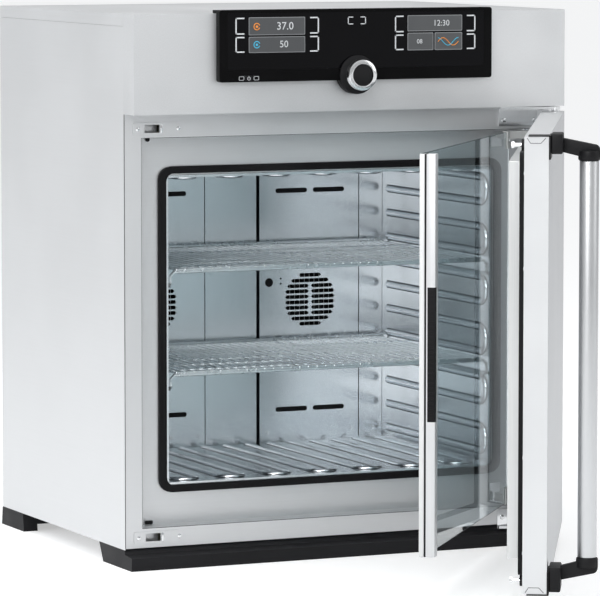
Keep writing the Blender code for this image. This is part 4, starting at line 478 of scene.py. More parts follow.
def swingAbout(x, y, angle):
    place = Matrix.Translation((x * mm, y * mm, 0.0))
    return place @ Matrix.Rotation(radians(angle), 4, "Z") @ place.inverted()


doorSwing = {"hinge": (364.0, -30.0), "angle": 60.5}
glassSwing = {"hinge": (330.0, 10.0), "angle": 51.0}
openDoor = swingAbout(*doorSwing["hinge"], doorSwing["angle"])
openGlass = swingAbout(*glassSwing["hinge"], glassSwing["angle"])


def showPiece(name, bm, finishName, like, replaced=(), swing=None):
    # the piece rides on the body that carries the node named like
    if swing:
        bmesh.ops.transform(bm, matrix=swing, verts=bm.verts)
    bmesh.ops.recalc_face_normals(bm, faces=bm.faces)
    mesh = bpy.data.meshes.new(name)
    bm.to_mesh(mesh)
    bm.free()
    mesh.shade_smooth()
    mesh.set_sharp_from_angle(angle=radians(toolSizes["sharpAngle"]))
    mesh.materials.append(finishes[finishName])
    piece = bpy.data.objects.new(name, mesh)
    bpy.context.scene.collection.objects.link(piece)
    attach(piece, body_of(nodes[like])[0])
    if replaced:
        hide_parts(*replaced)


def roundEdges(bm, edges, size, segments):
    bmesh.ops.bevel(
        bm, geom=list(edges), offset=size * mm, segments=segments, profile=0.5, affect="EDGES", material=-1)


def plainBox(bm, low, high):
    # a box between two corners; gives back its edges
    size = [abs(top - bottom) * mm for bottom, top in zip(low, high)]
    middle = Vector([(top + bottom) / 2 * mm for bottom, top in zip(low, high)])
    made = bmesh.ops.create_cube(
        bm, size=1.0, matrix=Matrix.Translation(middle) @ Matrix.Diagonal((*size, 1.0)))
    return {side for vert in made["verts"] for side in vert.link_edges}


def softBox(bm, low, high, edge=0.0, segments=2):
    sides = plainBox(bm, low, high)
    if edge:
        roundEdges(bm, sides, edge, segments)


def roundedSlab(bm, low, high, corner):
    # an upright plate that faces front, with its four corners rounded
    sides = plainBox(bm, low, high)
    through = [side for side in sides if abs((side.verts[0].co - side.verts[1].co).normalized().y) > 0.9]
    roundEdges(bm, through, corner, toolSizes["slabSteps"])


def softDisc(bm, centre, axis, radius, start, end, edge, segments):
    # centre holds the two places across the axis, in the order X, Y, Z
    place = list(centre)
    place.insert("XYZ".index(axis), (start + end) / 2)
    made = bmesh.ops.create_cone(
        bm, cap_ends=True, cap_tris=False, segments=segments, radius1=radius * mm, radius2=radius * mm,
        depth=abs(end - start) * mm, matrix=Matrix.Translation(Vector(place) * mm) @ axisTurn[axis])
    if edge:
        rims = {side for vert in made["verts"] for side in vert.link_edges
                if any(len(face.verts) == segments for face in side.link_faces)}
        roundEdges(bm, rims, edge, 2)


def softBall(bm, centre, radius, around, rings):
    bmesh.ops.create_uvsphere(
        bm, u_segments=around, v_segments=rings, radius=radius * mm,
        matrix=Matrix.Translation(Vector(centre) * mm))


def arcPoints(centre, radius, start, end, steps):
    # points of an upright arc that faces front
    points = []
    for k in range(steps + 1):
        turn = radians(start + (end - start) * k / steps)
        points.append((centre[0] + radius * cos(turn), centre[1], centre[2] + radius * sin(turn)))
    return points


def roundedLoop(low, high, radius, depth, steps):
    # an upright rectangle with round corners; low and high hold (across, up)
    points = []
    corners = (
        (high[0] - radius, high[1] - radius, 0), (low[0] + radius, high[1] - radius, 90),
        (low[0] + radius, low[1] + radius, 180), (high[0] - radius, low[1] + radius, 270))
    for across, up, start in corners:
        points += arcPoints((across, depth, up), radius, start, start + 90, steps)
    return points


def pourCurve(bm, curve, lay=None):
    # the curve's surface goes into the piece, and the curve itself goes away
    holder = bpy.data.objects.new(curve.name, curve)
    mesh = bpy.data.meshes.new_from_object(holder)
    if lay:
        mesh.transform(lay)
    bm.from_mesh(mesh)
    bpy.data.objects.remove(holder)
    bpy.data.curves.remove(curve)
    bpy.data.meshes.remove(mesh)


def bentBars(bm, paths, radius, roundness, closed=False):
    curve = bpy.data.curves.new("bars", "CURVE")
    curve.dimensions = "3D"
    curve.bevel_depth = radius * mm
    curve.bevel_resolution = roundness
    curve.use_fill_caps = not closed
    for path in paths:
        line = curve.splines.new("POLY")
        line.points.add(len(path) - 1)
        line.use_cyclic_u = closed
        for point, place in zip(line.points, path):
            point.co = (*(value * mm for value in place), 1.0)
    pourCurve(bm, curve)
    bmesh.ops.remove_doubles(bm, verts=bm.verts, dist=toolSizes["mergeDistance"])


def profilePlate(bm, outline, left, right, edge):
    # an outline of (depth, up) places, thick from left to right, with rounded rims
    curve = bpy.data.curves.new("outline", "CURVE")
    curve.dimensions = "2D"
    curve.fill_mode = "BOTH"
    curve.extrude = (abs(right - left) / 2 - edge) * mm
    curve.bevel_depth = edge * mm
    curve.bevel_resolution = 2
    curve.offset = -edge * mm
    line = curve.splines.new("POLY")
    line.points.add(len(outline) - 1)
    line.use_cyclic_u = True
    for point, (depth, up) in zip(line.points, outline):
        point.co = (depth * mm, up * mm, 0.0, 1.0)
    middle = (left + right) / 2 * mm
    pourCurve(bm, curve, Matrix(((0, 0, 1, middle), (1, 0, 0, 0), (0, 1, 0, 0), (0, 0, 0, 1))))
    bmesh.ops.remove_doubles(bm, verts=bm.verts, dist=toolSizes["mergeDistance"])


def cutAway(bm, cutter):
    # takes the cutter's shape out of the piece
    pair = []
    for source in (bm, cutter):
        bmesh.ops.recalc_face_normals(source, faces=source.faces)
        mesh = bpy.data.meshes.new("cut")
        source.to_mesh(mesh)
        holder = bpy.data.objects.new("cut", mesh)
        bpy.context.scene.collection.objects.link(holder)
        pair.append(holder)
    cut = pair[0].modifiers.new("cut", "BOOLEAN")
    cut.operation = "DIFFERENCE"
    cut.solver = "EXACT"
    cut.object = pair[1]
    seen = pair[0].evaluated_get(bpy.context.evaluated_depsgraph_get())
    result = bpy.data.meshes.new_from_object(seen)
    bm.clear()
    bm.from_mesh(result)
    cutter.free()
    for holder in pair:
        mesh = holder.data
        bpy.data.objects.remove(holder)
        bpy.data.meshes.remove(mesh)
    bpy.data.meshes.remove(result)


def screwHead(bm, place, toward, radius, height, driven=True):
    # a domed head that points front (-1) or back (1), with a raised drive unless it is a rivet
    size = toolSizes
    across, base, up = place
    softDisc(
        bm, (across, up), "Y", radius, base, base + toward * height, height * size["screwDome"],
        size["screwSides"])
    if driven:
        softDisc(
            bm, (across, up), "Y", radius * size["driveShare"], base,
            base + toward * (height + size["driveProud"]), size["driveRound"], size["driveSides"])


print("tools ready")


# Chamber: smooth ribs over the pressed walls, guard wires, wall joints and the seal's beads.
chamberSizes = {
    "ribRadius": 5.25, "pairWidth": 40.65, "ribRear": 418.0, "bendSteps": 12,
    "sideX": 280.5, "sideFirst": 144.2, "sidePitch": 81.3, "sidePairs": 6, "sideBend": 75.3,
    "floorZ": 125.5, "ceilingZ": 606.5, "floorPitch": 80.0, "floorPairs": 7, "floorBend": 81.3,
    "creaseRadius": 11.0, "creaseDepth": 8.0, "creaseLonger": 2.0,
    "walls": {"liner_side_left": -1, "liner_side_right": 1, "liner_floor": -1, "liner_ceiling": 1},
}


def ribPath(start, bend, rear, place):
    # a U of two arms with a round front; place turns (across, depth) into a point
    half = chamberSizes["pairWidth"] / 2
    steps = chamberSizes["bendSteps"]
    path = [place(start, rear), place(start, (bend + rear) / 2)]
    for k in range(steps + 1):
        turn = pi * k / steps
        path.append(place(start + half - half * cos(turn), bend - half * sin(turn)))
    return path + [place(start + 2 * half, (bend + rear) / 2), place(start + 2 * half, rear)]


def wallPaths(like, way, away=0.0, longer=0.0):
    # every U of one wall, moved outward by away, with arms that reach longer to the rear
    size = chamberSizes
    rear = size["ribRear"] + longer
    if "side" in like:
        wallX = way * (size["sideX"] + away)
        return [ribPath(
            size["sideFirst"] + k * size["sidePitch"], size["sideBend"], rear,
            lambda up, depth: (wallX, depth, up)) for k in range(size["sidePairs"])]
    level = size["floorZ"] - away if way < 0 else size["ceilingZ"] + away
    middle = (size["floorPairs"] - 1) / 2
    return [ribPath(
        (k - middle) * size["floorPitch"] - size["pairWidth"] / 2, size["floorBend"], rear,
        lambda across, depth: (across, depth, level)) for k in range(size["floorPairs"])]


def makeChamberRibs():
    size = chamberSizes
    for like, way in size["walls"].items():
        bm = bmesh.new()
        paths = wallPaths(like, way)
        bentBars(bm, paths, size["ribRadius"], 4)
        for path in paths:
            for end in (path[0], path[-1]):
                softBall(bm, end, size["ribRadius"], 14, 8)
        showPiece(like.replace("liner", "ribs"), bm, "rib", like)


makeChamberRibs()

grilleSizes = {
    "fanX": 145.0, "fanZ": 365.6, "reach": 91.0, "wirePitch": 9.0, "wire": 0.45, "depth": 444.0,
    "wireShare": 0.55, "face": 441.0, "sunk": 0.1,
    "jointX": (-48.0, 236.0), "jointLow": 128.0, "jointHigh": 604.0, "jointHalf": 0.7, "jointProud": 0.15,
    "holeX": 91.0, "holeZ": (393.6, 402.2), "holeRadius": 1.7, "holeProud": 0.2, "holeSides": 14,
    "screwX": (-262.0, -110.0, -60.0, 66.0, 222.0, 262.0), "screwZ": (142.0, 590.0),
    "screwRadius": 3.4, "screwHeight": 1.4,
}


def makeGrilleWires():
    size = grilleSizes
    count = int(size["reach"] / size["wirePitch"])
    for side, like in ((-1, "fan_panel_left"), (1, "fan_panel_right")):
        bm = bmesh.new()
        uprights = []
        for k in range(-count, count + 1):
            across = k * size["wirePitch"]
            half = sqrt(size["reach"] ** 2 - across ** 2) * size["wireShare"]
            place = side * size["fanX"] + across
            uprights.append([(place, size["depth"], size["fanZ"] + end) for end in (-half, half)])
        bentBars(bm, uprights, size["wire"], 1)
        showPiece(like.replace("fan_panel", "fan_guard"), bm, "galvanised", like)


def makeWallJoints():
    size = grilleSizes
    back = size["face"] + size["sunk"]
    for place, like in zip(size["jointX"], ("fan_panel_left", "fan_panel_right")):
        bm = bmesh.new()
        softBox(
            bm, (place - size["jointHalf"], size["face"] - size["jointProud"], size["jointLow"]),
            (place + size["jointHalf"], back, size["jointHigh"]))
        showPiece(like.replace("fan_panel", "wall_joint"), bm, "shadow", like)
    # the sensor holes are dark discs: painted shade for the openings
    bm = bmesh.new()
    for up in size["holeZ"]:
        softDisc(
            bm, (size["holeX"], up), "Y", size["holeRadius"], size["face"] - size["holeProud"], back,
            0.0, size["holeSides"])
    showPiece("sensor_holes", bm, "shadow", "fan_panel_right")
    bm = bmesh.new()
    for across in size["screwX"]:
        for up in size["screwZ"]:
            screwHead(bm, (across, size["face"], up), -1, size["screwRadius"], size["screwHeight"])
    showPiece("fan_panel_screws", bm, "bright", "fan_panel_left")


makeGrilleWires()
makeWallJoints()

sealSizes = {
    "chamber_gasket": {
        "half": 291.5, "low": 116.5, "high": 618.5, "corner": 17.0, "bead": 2.6, "face": 40.2, "shift": 3.3,
        "steps": 8},
    "door_gasket": {
        "half": 340.0, "low": 65.0, "high": 669.0, "corner": 9.0, "bead": 3.0, "face": -3.4, "shift": 3.6,
        "steps": 5},
}


def makeSealBeads(name, like, swing=None):
    # two round beads, one inside and one outside the seal's middle line
    size = sealSizes[like]
    bm = bmesh.new()
    for shift in (-size["shift"], size["shift"]):
        loop = roundedLoop(
            (-size["half"] - shift, size["low"] - shift), (size["half"] + shift, size["high"] + shift),
            size["corner"] + shift, size["face"], size["steps"])
        bentBars(bm, [loop], size["bead"], 3, True)
    showPiece(name, bm, "rubber", like, swing=swing)


makeSealBeads("chamber_seal_beads", "chamber_gasket")
print("chamber ready")


# Shelves: round wire ends and cross wires on the plain grids.
shelfSizes = {
    "edge": 275.8, "sideSpace": 10.0, "wires": 36, "tipY": 44.8, "tip": 2.0, "tipSides": 8, "tipRings": 6,
    "crossDepth": (100.0, 165.0, 230.0, 295.0, 360.0), "cross": 1.5, "crossDrop": 2.7,
    "levels": {"shelf_upper": 461.15, "shelf_lower": 298.55},
}


def makeShelfTrim(name, level):
    size = shelfSizes
    last = size["edge"] - size["sideSpace"]
    pitch = 2 * last / (size["wires"] - 1)
    bm = bmesh.new()
    for k in range(size["wires"]):
        softBall(
            bm, (-last + k * pitch, size["tipY"], level), size["tip"], size["tipSides"], size["tipRings"])
    low = level - size["crossDrop"]
    lines = [[(-size["edge"], depth, low), (size["edge"], depth, low)] for depth in size["crossDepth"]]
    bentBars(bm, lines, size["cross"], 2)
    showPiece(name + "_trim", bm, "wire", name)


for shelfName, shelfLevel in shelfSizes["levels"].items():
    makeShelfTrim(shelfName, shelfLevel)
print("shelves ready")


# Main door, in its closed place and then swung open: seal beads, rivets, corner folds, latches, handle.
makeSealBeads("door_seal_beads", "door_gasket", openDoor)

doorSizes = {
    "rivetX": -352.5, "rivets": (92.0, 232.0, 508.0, 646.0), "rivetRadius": 2.6, "rivetHeight": 1.2,
    "innerFace": -8.0, "foldX": -372.55, "top": 700.6, "bottom": 35.0, "foldWire": 0.45,
    "foldPath": ((-12.0, 2.0), (-17.0, 9.5), (-32.0, 9.5), (-39.0, 2.0)),
}


def makeDoorTrim():
    size = doorSizes
    bm = bmesh.new()
    for up in size["rivets"]:
        for side in (1, -1):
            screwHead(
                bm, (side * size["rivetX"], size["innerFace"], up), 1, size["rivetRadius"],
                size["rivetHeight"], False)
    showPiece("door_rivets", bm, "ink", "door_outer_shell", swing=openDoor)
    bm = bmesh.new()
    folds = [
        [(size["foldX"], depth, corner + way * drop) for depth, drop in size["foldPath"]]
        for corner, way in ((size["top"], -1), (size["bottom"], 1))]
    bentBars(bm, folds, size["foldWire"], 1)
    showPiece("door_corner_joints", bm, "shadow", "door_outer_shell", swing=openDoor)


makeDoorTrim()

latchSizes = {
    "left": -375.2, "right": -312.0, "face": -63.4, "capInset": 3.0, "capSunk": 0.4, "capRound": 2.4,
    "pocketX": -345.0, "pocketHalf": 10.5, "pocketMouth": -67.4, "pocketFloor": -46.8, "pocketRise": 11.5,
    "pocketRound": 1.2, "plate": -46.4, "skin": -43.5, "plateReach": 33.0, "plateOver": 1.6,
    "plateRound": 0.5, "lipSunk": 0.2, "lipRight": -341.0, "lipEnd": -14.0, "lipStart": 0.3, "lipOver": 1.8,
    "bushX": -325.0, "bushRadius": 8.8, "bushFront": -49.4, "bushBack": -2.4, "bushRound": 1.0,
    "bushSides": 28,
    "blocks": {
        "latch_block_upper": {
            "low": 675.5, "high": 704.5, "armZ": 690.5, "bushZ": 686.0, "doorEnd": 700.6, "way": 1},
        "latch_block_lower": {
            "low": 38.0, "high": 74.0, "armZ": 60.5, "bushZ": 48.0, "doorEnd": 35.0, "way": -1}},
}


def makeLatchBlock(name, low, high, armZ, bushZ, doorEnd, way):
    size = latchSizes
    bm = bmesh.new()
    softBox(
        bm, (size["left"] + size["capInset"], size["face"], low),
        (size["right"], size["plate"] + size["capSunk"], high), size["capRound"], 3)
    pocket = bmesh.new()
    softBox(
        pocket, (size["pocketX"] - size["pocketHalf"], size["pocketMouth"], armZ - size["pocketRise"]),
        (size["pocketX"] + size["pocketHalf"], size["pocketFloor"], armZ + size["pocketRise"]),
        size["pocketRound"])
    cutAway(bm, pocket)
    softBox(
        bm, (size["left"], size["plate"], doorEnd - way * size["plateReach"]),
        (size["right"], size["skin"], doorEnd + way * size["plateOver"]), size["plateRound"])
    softBox(
        bm, (size["left"], size["plate"] + size["lipSunk"], doorEnd + way * size["lipStart"]),
        (size["lipRight"], size["lipEnd"], doorEnd + way * size["lipOver"]))
    softDisc(
        bm, (size["bushX"], bushZ), "Y", size["bushRadius"], size["bushFront"], size["bushBack"],
        size["bushRound"], size["bushSides"])
    showPiece(name + "_body", bm, "plastic", name, (name,), openDoor)


for blockName, blockValues in latchSizes["blocks"].items():
    makeLatchBlock(blockName, **blockValues)

handleSizes = {
    "tubeX": -345.0, "tubeY": -101.0, "tubeRadius": 14.0, "tubeLow": 87.0, "tubeHigh": 664.5,
    "tubeRound": 0.6, "tubeSides": 56, "socketRadius": 16.0, "socketHeight": 15.0, "socketRound": 2.4,
    "socketSides": 40, "armHalf": 7.4, "armRoot": -49.5, "armHeight": 20.0, "armRound": 2.0,
    "elbowHeight": 24.0, "elbowRadius": 9.0, "elbowSteps": 5, "footFar": 3.0, "footNear": 7.0,
    "arms": {
        "handle_arm_upper": {"tubeEnd": 664.8, "way": 1, "root": 690.5},
        "handle_arm_lower": {"tubeEnd": 86.7, "way": -1, "root": 60.5}},
}


def makeHandleArm(name, tubeEnd, way, root):
    size = handleSizes
    half = size["armHeight"] / 2
    far = size["tubeY"] - size["socketRadius"]
    near = size["tubeY"] + size["socketRadius"]
    outline = [(size["armRoot"], root - way * half), (size["armRoot"], root + way * half)]
    elbow = size["elbowRadius"]
    bend = tubeEnd + way * (size["elbowHeight"] - elbow)
    for k in range(size["elbowSteps"] + 1):
        turn = radians(90.0 * k / size["elbowSteps"])
        outline.append((far + elbow - elbow * sin(turn), bend + way * elbow * cos(turn)))
    foot = tubeEnd + way * size["footFar"]
    outline += [(far, foot), (near, foot), (near, tubeEnd + way * size["footNear"])]
    bm = bmesh.new()
    profilePlate(
        bm, outline, size["tubeX"] - size["armHalf"], size["tubeX"] + size["armHalf"], size["armRound"])
    softDisc(
        bm, (size["tubeX"], size["tubeY"]), "Z", size["socketRadius"], tubeEnd,
        tubeEnd + way * size["socketHeight"], size["socketRound"], size["socketSides"])
    showPiece(name + "_body", bm, "plastic", name, (name,), openDoor)


def makeHandleTube():
    size = handleSizes
    bm = bmesh.new()
    softDisc(
        bm, (size["tubeX"], size["tubeY"]), "Z", size["tubeRadius"], size["tubeLow"], size["tubeHigh"],
        size["tubeRound"], size["tubeSides"])
    showPiece("handle_tube_body", bm, "tube", "handle_tube", ("handle_tube",), openDoor)


for armName, armValues in handleSizes["arms"].items():
    makeHandleArm(armName, **armValues)
makeHandleTube()
print("main door ready")


# Glass door, closed and then swung open: channel, dark groove, rail and the ribbed grip.
glassSizes = {
    "end": -306.0, "inner": -288.0, "low": 67.0, "high": 667.0, "railFront": 13.0, "railBack": 26.8,
    "channelFront": 29.8, "channelBack": 37.2, "edgeRound": 0.7, "grooveInset": 2.2,
    "gripFront": 12.5, "gripBack": 25.1, "gripLow": 269.0, "gripHigh": 470.0, "gripRight": -298.3,
    "gripProud": 0.4, "gripRound": 1.2, "gripMargin": 6.0, "gripLines": 26, "lineProud": 0.9,
    "lineSunk": 1.0, "lineFront": 14.5, "lineBack": 23.0, "lineHalf": 1.1, "lineRound": 0.4,
}


def makeGlassDoorTrim():
    size = glassSizes
    parts = (
        ("glass_channel", "channelFront", "channelBack", 0.0, "channel", ("glass_edge_profile",)),
        ("glass_groove", "railBack", "channelFront", size["grooveInset"], "shadow", ()),
        ("glass_rail", "railFront", "railBack", 0.0, "rail", ()))
    for name, near, far, inset, finishName, gone in parts:
        bm = bmesh.new()
        softBox(
            bm, (size["end"] + inset, size[near], size["low"]), (size["inner"], size[far], size["high"]),
            0.0 if inset else size["edgeRound"])
        showPiece(name, bm, finishName, "glass_edge_profile", gone, openGlass)
    bm = bmesh.new()
    softBox(
        bm, (size["end"] - size["gripProud"], size["gripFront"], size["gripLow"]),
        (size["gripRight"], size["gripBack"], size["gripHigh"]), size["gripRound"])
    spacing = (size["gripHigh"] - size["gripLow"] - 2 * size["gripMargin"]) / (size["gripLines"] - 1)
    for k in range(size["gripLines"]):
        up = size["gripLow"] + size["gripMargin"] + k * spacing
        softBox(
            bm, (size["end"] - size["lineProud"], size["lineFront"], up - size["lineHalf"]),
            (size["end"] + size["lineSunk"], size["lineBack"], up + size["lineHalf"]), size["lineRound"])
    showPiece("glass_grip_body", bm, "rubber", "glass_grip", ("glass_grip",), openGlass)


makeGlassDoorTrim()
print("glass door ready")


# Painted shade: dark bars round the ribs stand for the shade in the pressed walls' creases, and dark plates
# behind the duct slots stand for the shade inside the ducts.
def makeRibCreaseShade():
    size = chamberSizes
    for like, way in size["walls"].items():
        bm = bmesh.new()
        bentBars(bm, wallPaths(like, way, size["creaseDepth"], size["creaseLonger"]), size["creaseRadius"], 3)
        showPiece(like.replace("liner", "crease_shade"), bm, "creaseShade", like)


makeRibCreaseShade()

ductSizes = {
    "rise": 185.0, "shift": 34.5, "half": 29.0, "high": 4.0, "corner": 3.8, "front": 440.7, "back": 443.6}


def makeDuctSlotShade():
    # painted shade: dark plates behind the duct slots, which make the slots read black
    size = ductSizes
    middle = grilleSizes["fanZ"]
    for side, like in ((-1, "fan_panel_left"), (1, "fan_panel_right")):
        bm = bmesh.new()
        for up in (middle - size["rise"], middle + size["rise"]):
            for shift in (-size["shift"], size["shift"]):
                across = side * grilleSizes["fanX"] + shift
                roundedSlab(
                    bm, (across - size["half"], size["front"], up - size["high"]),
                    (across + size["half"], size["back"], up + size["high"]), size["corner"])
        showPiece(like.replace("fan_panel", "duct_slot_shade"), bm, "shadow", like)


makeDuctSlotShade()
print("chamber joints ready")


# Control panel: display tiles, plain numbers, bracket keys, menu key, icons and the knob.
panelSizes = {
    "face": -56.1, "sunk": 0.02, "lift": 0.25, "innerLift": 0.35, "rim": 0.9, "tileGap": 1.3,
    "tileCorner": 1.2, "leftTiles": (-185.5, -90.0), "rightTiles": (87.0, 182.5), "tileLow": 803.0,
    "tileHigh": 857.8, "leftSplit": 829.0, "rightSplit": 831.6, "rightMiddle": 133.2,
    "keyLift": 0.3, "keyWidth": 15.0, "keyBar": 2.0, "keyRows": ((803.5, 828.0), (831.5, 857.5)),
    "leftKeys": (-208.0, 65.0), "rightKeys": (-66.3, 206.0),
    "menu": (-16.5, 14.5, 845.0, 857.0), "menuWidth": 9.0, "menuBar": 1.3, "markLift": 0.42,
}


def makeTiles():
    size = panelSizes
    gap = size["tileGap"]
    tiles = [
        (*size["leftTiles"], size["tileLow"], size["leftSplit"] - gap),
        (*size["leftTiles"], size["leftSplit"] + gap, size["tileHigh"]),
        (*size["rightTiles"], size["rightSplit"] + gap, size["tileHigh"]),
        (size["rightTiles"][0], size["rightMiddle"] - gap, size["tileLow"], size["rightSplit"] - gap),
        (size["rightMiddle"] + gap, size["rightTiles"][1], size["tileLow"], size["rightSplit"] - gap)]
    for name, finishName, inset, lift in (
            ("display_frames", "tileRim", 0.0, size["lift"]),
            ("display_tiles", "tile", size["rim"], size["innerLift"])):
        bm = bmesh.new()
        for left, right, low, high in tiles:
            roundedSlab(
                bm, (left + inset, size["face"] - lift, low + inset),
                (right - inset, size["face"] - size["sunk"], high - inset), size["tileCorner"])
        showPiece(name, bm, finishName, "control_glass")


def addBracket(bm, start, way, low, high, bar, width):
    # an upright bar at start, with a foot and a head that reach right (1) or left (-1)
    size = panelSizes
    for reach, bottom, top in ((bar, low, high), (width, low, low + bar), (width, high - bar, high)):
        left, right = sorted((start, start + way * reach))
        softBox(
            bm, (left, size["face"] - size["keyLift"], bottom), (right, size["face"] - size["sunk"], top))


def makeKeys():
    size = panelSizes
    bm = bmesh.new()
    for places, way in ((size["leftKeys"], 1), (size["rightKeys"], -1)):
        for start in places:
            for low, high in size["keyRows"]:
                addBracket(bm, start, way, low, high, size["keyBar"], size["keyWidth"])
    left, right, low, high = size["menu"]
    addBracket(bm, left, 1, low, high, size["menuBar"], size["menuWidth"])
    addBracket(bm, right, -1, low, high, size["menuBar"], size["menuWidth"])
    showPiece("bracket_keys", bm, "ink", "control_glass")


textSizes = {
    "thickness": 0.04, "curveSteps": 3,
    "numbers": {
        "temperature_number": {"body": "37.0", "height": 17.0, "across": -124.0, "up": 843.5},
        "humidity_number": {"body": "50", "height": 15.0, "across": -126.0, "up": 815.5},
        "clock_number": {"body": "12:30", "height": 13.0, "across": 146.0, "up": 845.0},
        "day_number": {"body": "08", "height": 10.0, "across": 108.0, "up": 816.5}},
}


def makeText(name, body, height, across, up):
    line = bpy.data.curves.new(name, "FONT")
    line.body = body
    line.size = height * mm
    line.extrude = textSizes["thickness"] * mm
    line.align_x = "CENTER"
    line.align_y = "CENTER"
    line.resolution_u = textSizes["curveSteps"]
    place = Vector((across, panelSizes["face"] - panelSizes["markLift"], up)) * mm
    bm = bmesh.new()
    pourCurve(bm, line, Matrix.Translation(place) @ Matrix.Rotation(pi / 2, 4, "X"))
    showPiece(name, bm, "ink", "control_glass")


markSizes = {
    "x": -172.0, "radius": 5.0, "start": 20, "end": 340, "steps": 14, "wire": 0.8,
    "dot": 2.0, "dotHalf": 0.3, "dotSides": 14,
    "marks": {"warm_mark": ("orange", 843.5), "damp_mark": ("cyan", 815.5)},
    "curveX": 140.0, "curveStep": 2.4, "curvePoints": 16, "curveZ": 816.0, "curveRise": 6.0,
    "curveTurn": 0.42, "curveWire": 0.6,
    "curves": {"warm_curve": ("orange", 0.0), "damp_curve": ("cyan", 1.6)},
    "printY": -56.6, "powerX": -185.5, "powerZ": 763.4, "powerRadius": 2.4, "powerStart": 120,
    "powerEnd": 420, "powerLow": 763.8, "powerHigh": 767.2, "powerWire": 0.38,
    "portX": (-198.0, -173.0), "portHalf": 4.0, "portLow": 761.0, "portHigh": 766.5, "portCorner": 1.0,
    "portSteps": 3, "portWire": 0.35,
}


def makeDisplayMarks():
    size = markSizes
    depth = panelSizes["face"] - panelSizes["markLift"]
    for name, (finishName, up) in size["marks"].items():
        bm = bmesh.new()
        ring = arcPoints((size["x"], depth, up), size["radius"], size["start"], size["end"], size["steps"])
        bentBars(bm, [ring], size["wire"], 2)
        softDisc(
            bm, (size["x"], up), "Y", size["dot"], depth - size["dotHalf"], depth + size["dotHalf"], 0.0,
            size["dotSides"])
        showPiece(name, bm, finishName, "control_glass")
    for name, (finishName, phase) in size["curves"].items():
        bm = bmesh.new()
        wave = [
            (size["curveX"] + k * size["curveStep"], depth,
             size["curveZ"] + size["curveRise"] * sin(k * size["curveTurn"] + phase))
            for k in range(size["curvePoints"])]
        bentBars(bm, [wave], size["curveWire"], 2)
        showPiece(name, bm, finishName, "control_glass")


def makePrintedMarks():
    size = markSizes
    bm = bmesh.new()
    depth = size["printY"]
    ring = arcPoints(
        (size["powerX"], depth, size["powerZ"]), size["powerRadius"], size["powerStart"], size["powerEnd"],
        size["steps"])
    stroke = [(size["powerX"], depth, size["powerLow"]), (size["powerX"], depth, size["powerHigh"])]
    bentBars(bm, [ring, stroke], size["powerWire"], 1)
    for across in size["portX"]:
        port = roundedLoop(
            (across - size["portHalf"], size["portLow"]), (across + size["portHalf"], size["portHigh"]),
            size["portCorner"], depth, size["portSteps"])
        bentBars(bm, [port], size["portWire"], 1, True)
    showPiece("power_and_port_marks", bm, "ink", "power_key")


makeTiles()
makeKeys()
for textName, textValues in textSizes["numbers"].items():
    makeText(textName, **textValues)
makeDisplayMarks()
makePrintedMarks()

knobSizes = {
    "x": -1.0, "z": 766.5, "sides": 56,
    "base": {"radius": 30.5, "start": -56.7, "end": -61.2, "edge": 1.6},
    "ring": {"radius": 24.5, "start": -63.5, "end": -80.0, "edge": 2.6},
    "cap": {"radius": 17.0, "start": -67.8, "end": -78.0, "edge": 1.8},
    "bore": {"radius": 17.6, "start": -67.5, "end": -84.0, "edge": 0.0},
}


def makeKnob():
    size = knobSizes
    centre = (size["x"], size["z"])
    for part, finishName, slotName in (
            ("base", "plastic", "black_plastic"), ("ring", "bright", "bright_steel"),
            ("cap", "plastic", "black_plastic")):
        bm = bmesh.new()
        softDisc(bm, centre, "Y", segments=size["sides"], **size[part])
        if part == "ring":
            bore = bmesh.new()
            softDisc(bore, centre, "Y", segments=size["sides"], **size["bore"])
            cutAway(bm, bore)
        name = "knob_" + part
        showPiece(name + "_body", bm, finishName, name, (name,))


makeKnob()
print("control panel ready")


# Small fittings on the front frame, the hinges, the door skin and the glass.
frameSizes = {
    "latchZ": (686.0, 48.0), "strikerScrewX": (-350.0, -281.5), "strikerFace": -1.8,
    "strikerRadius": 3.3, "strikerHeight": 1.2,
    "pipLow": (-311.4, -3.4), "pipHigh": (-308.6, -1.6), "pipHalf": 7.0, "pipRound": 0.5,
    "pocketLow": (-339.0, 13.4), "pocketHigh": (-311.0, 14.2), "pocketHalf": 9.4, "pocketRound": 0.2,
    "foldX": 342.7, "foldLow": 62.3, "foldHigh": 671.7, "foldCorner": 1.0, "foldY": 0.7, "foldWire": 0.45,
    "seamX": -371.2, "seamY": -0.1, "seamLow": 32.5, "seamHigh": 709.0, "seamWire": 0.5,
    "plugFront": 39.5, "plugBack": 43.1, "roundPlug": (-315.3, 667.0), "plugRadius": 3.6, "plugRound": 0.8,
    "plugSides": 20, "longPlugX": (-321.5, -308.5), "longPlugZ": (62.6, 68.0), "longPlugRound": 1.4,
    "hingeScrewX": (284.5, 340.0), "hingeScrewZ": (686.0, 44.0), "hingeFace": -3.0,
    "hingeRadius": 3.6, "hingeHeight": 1.5,
}


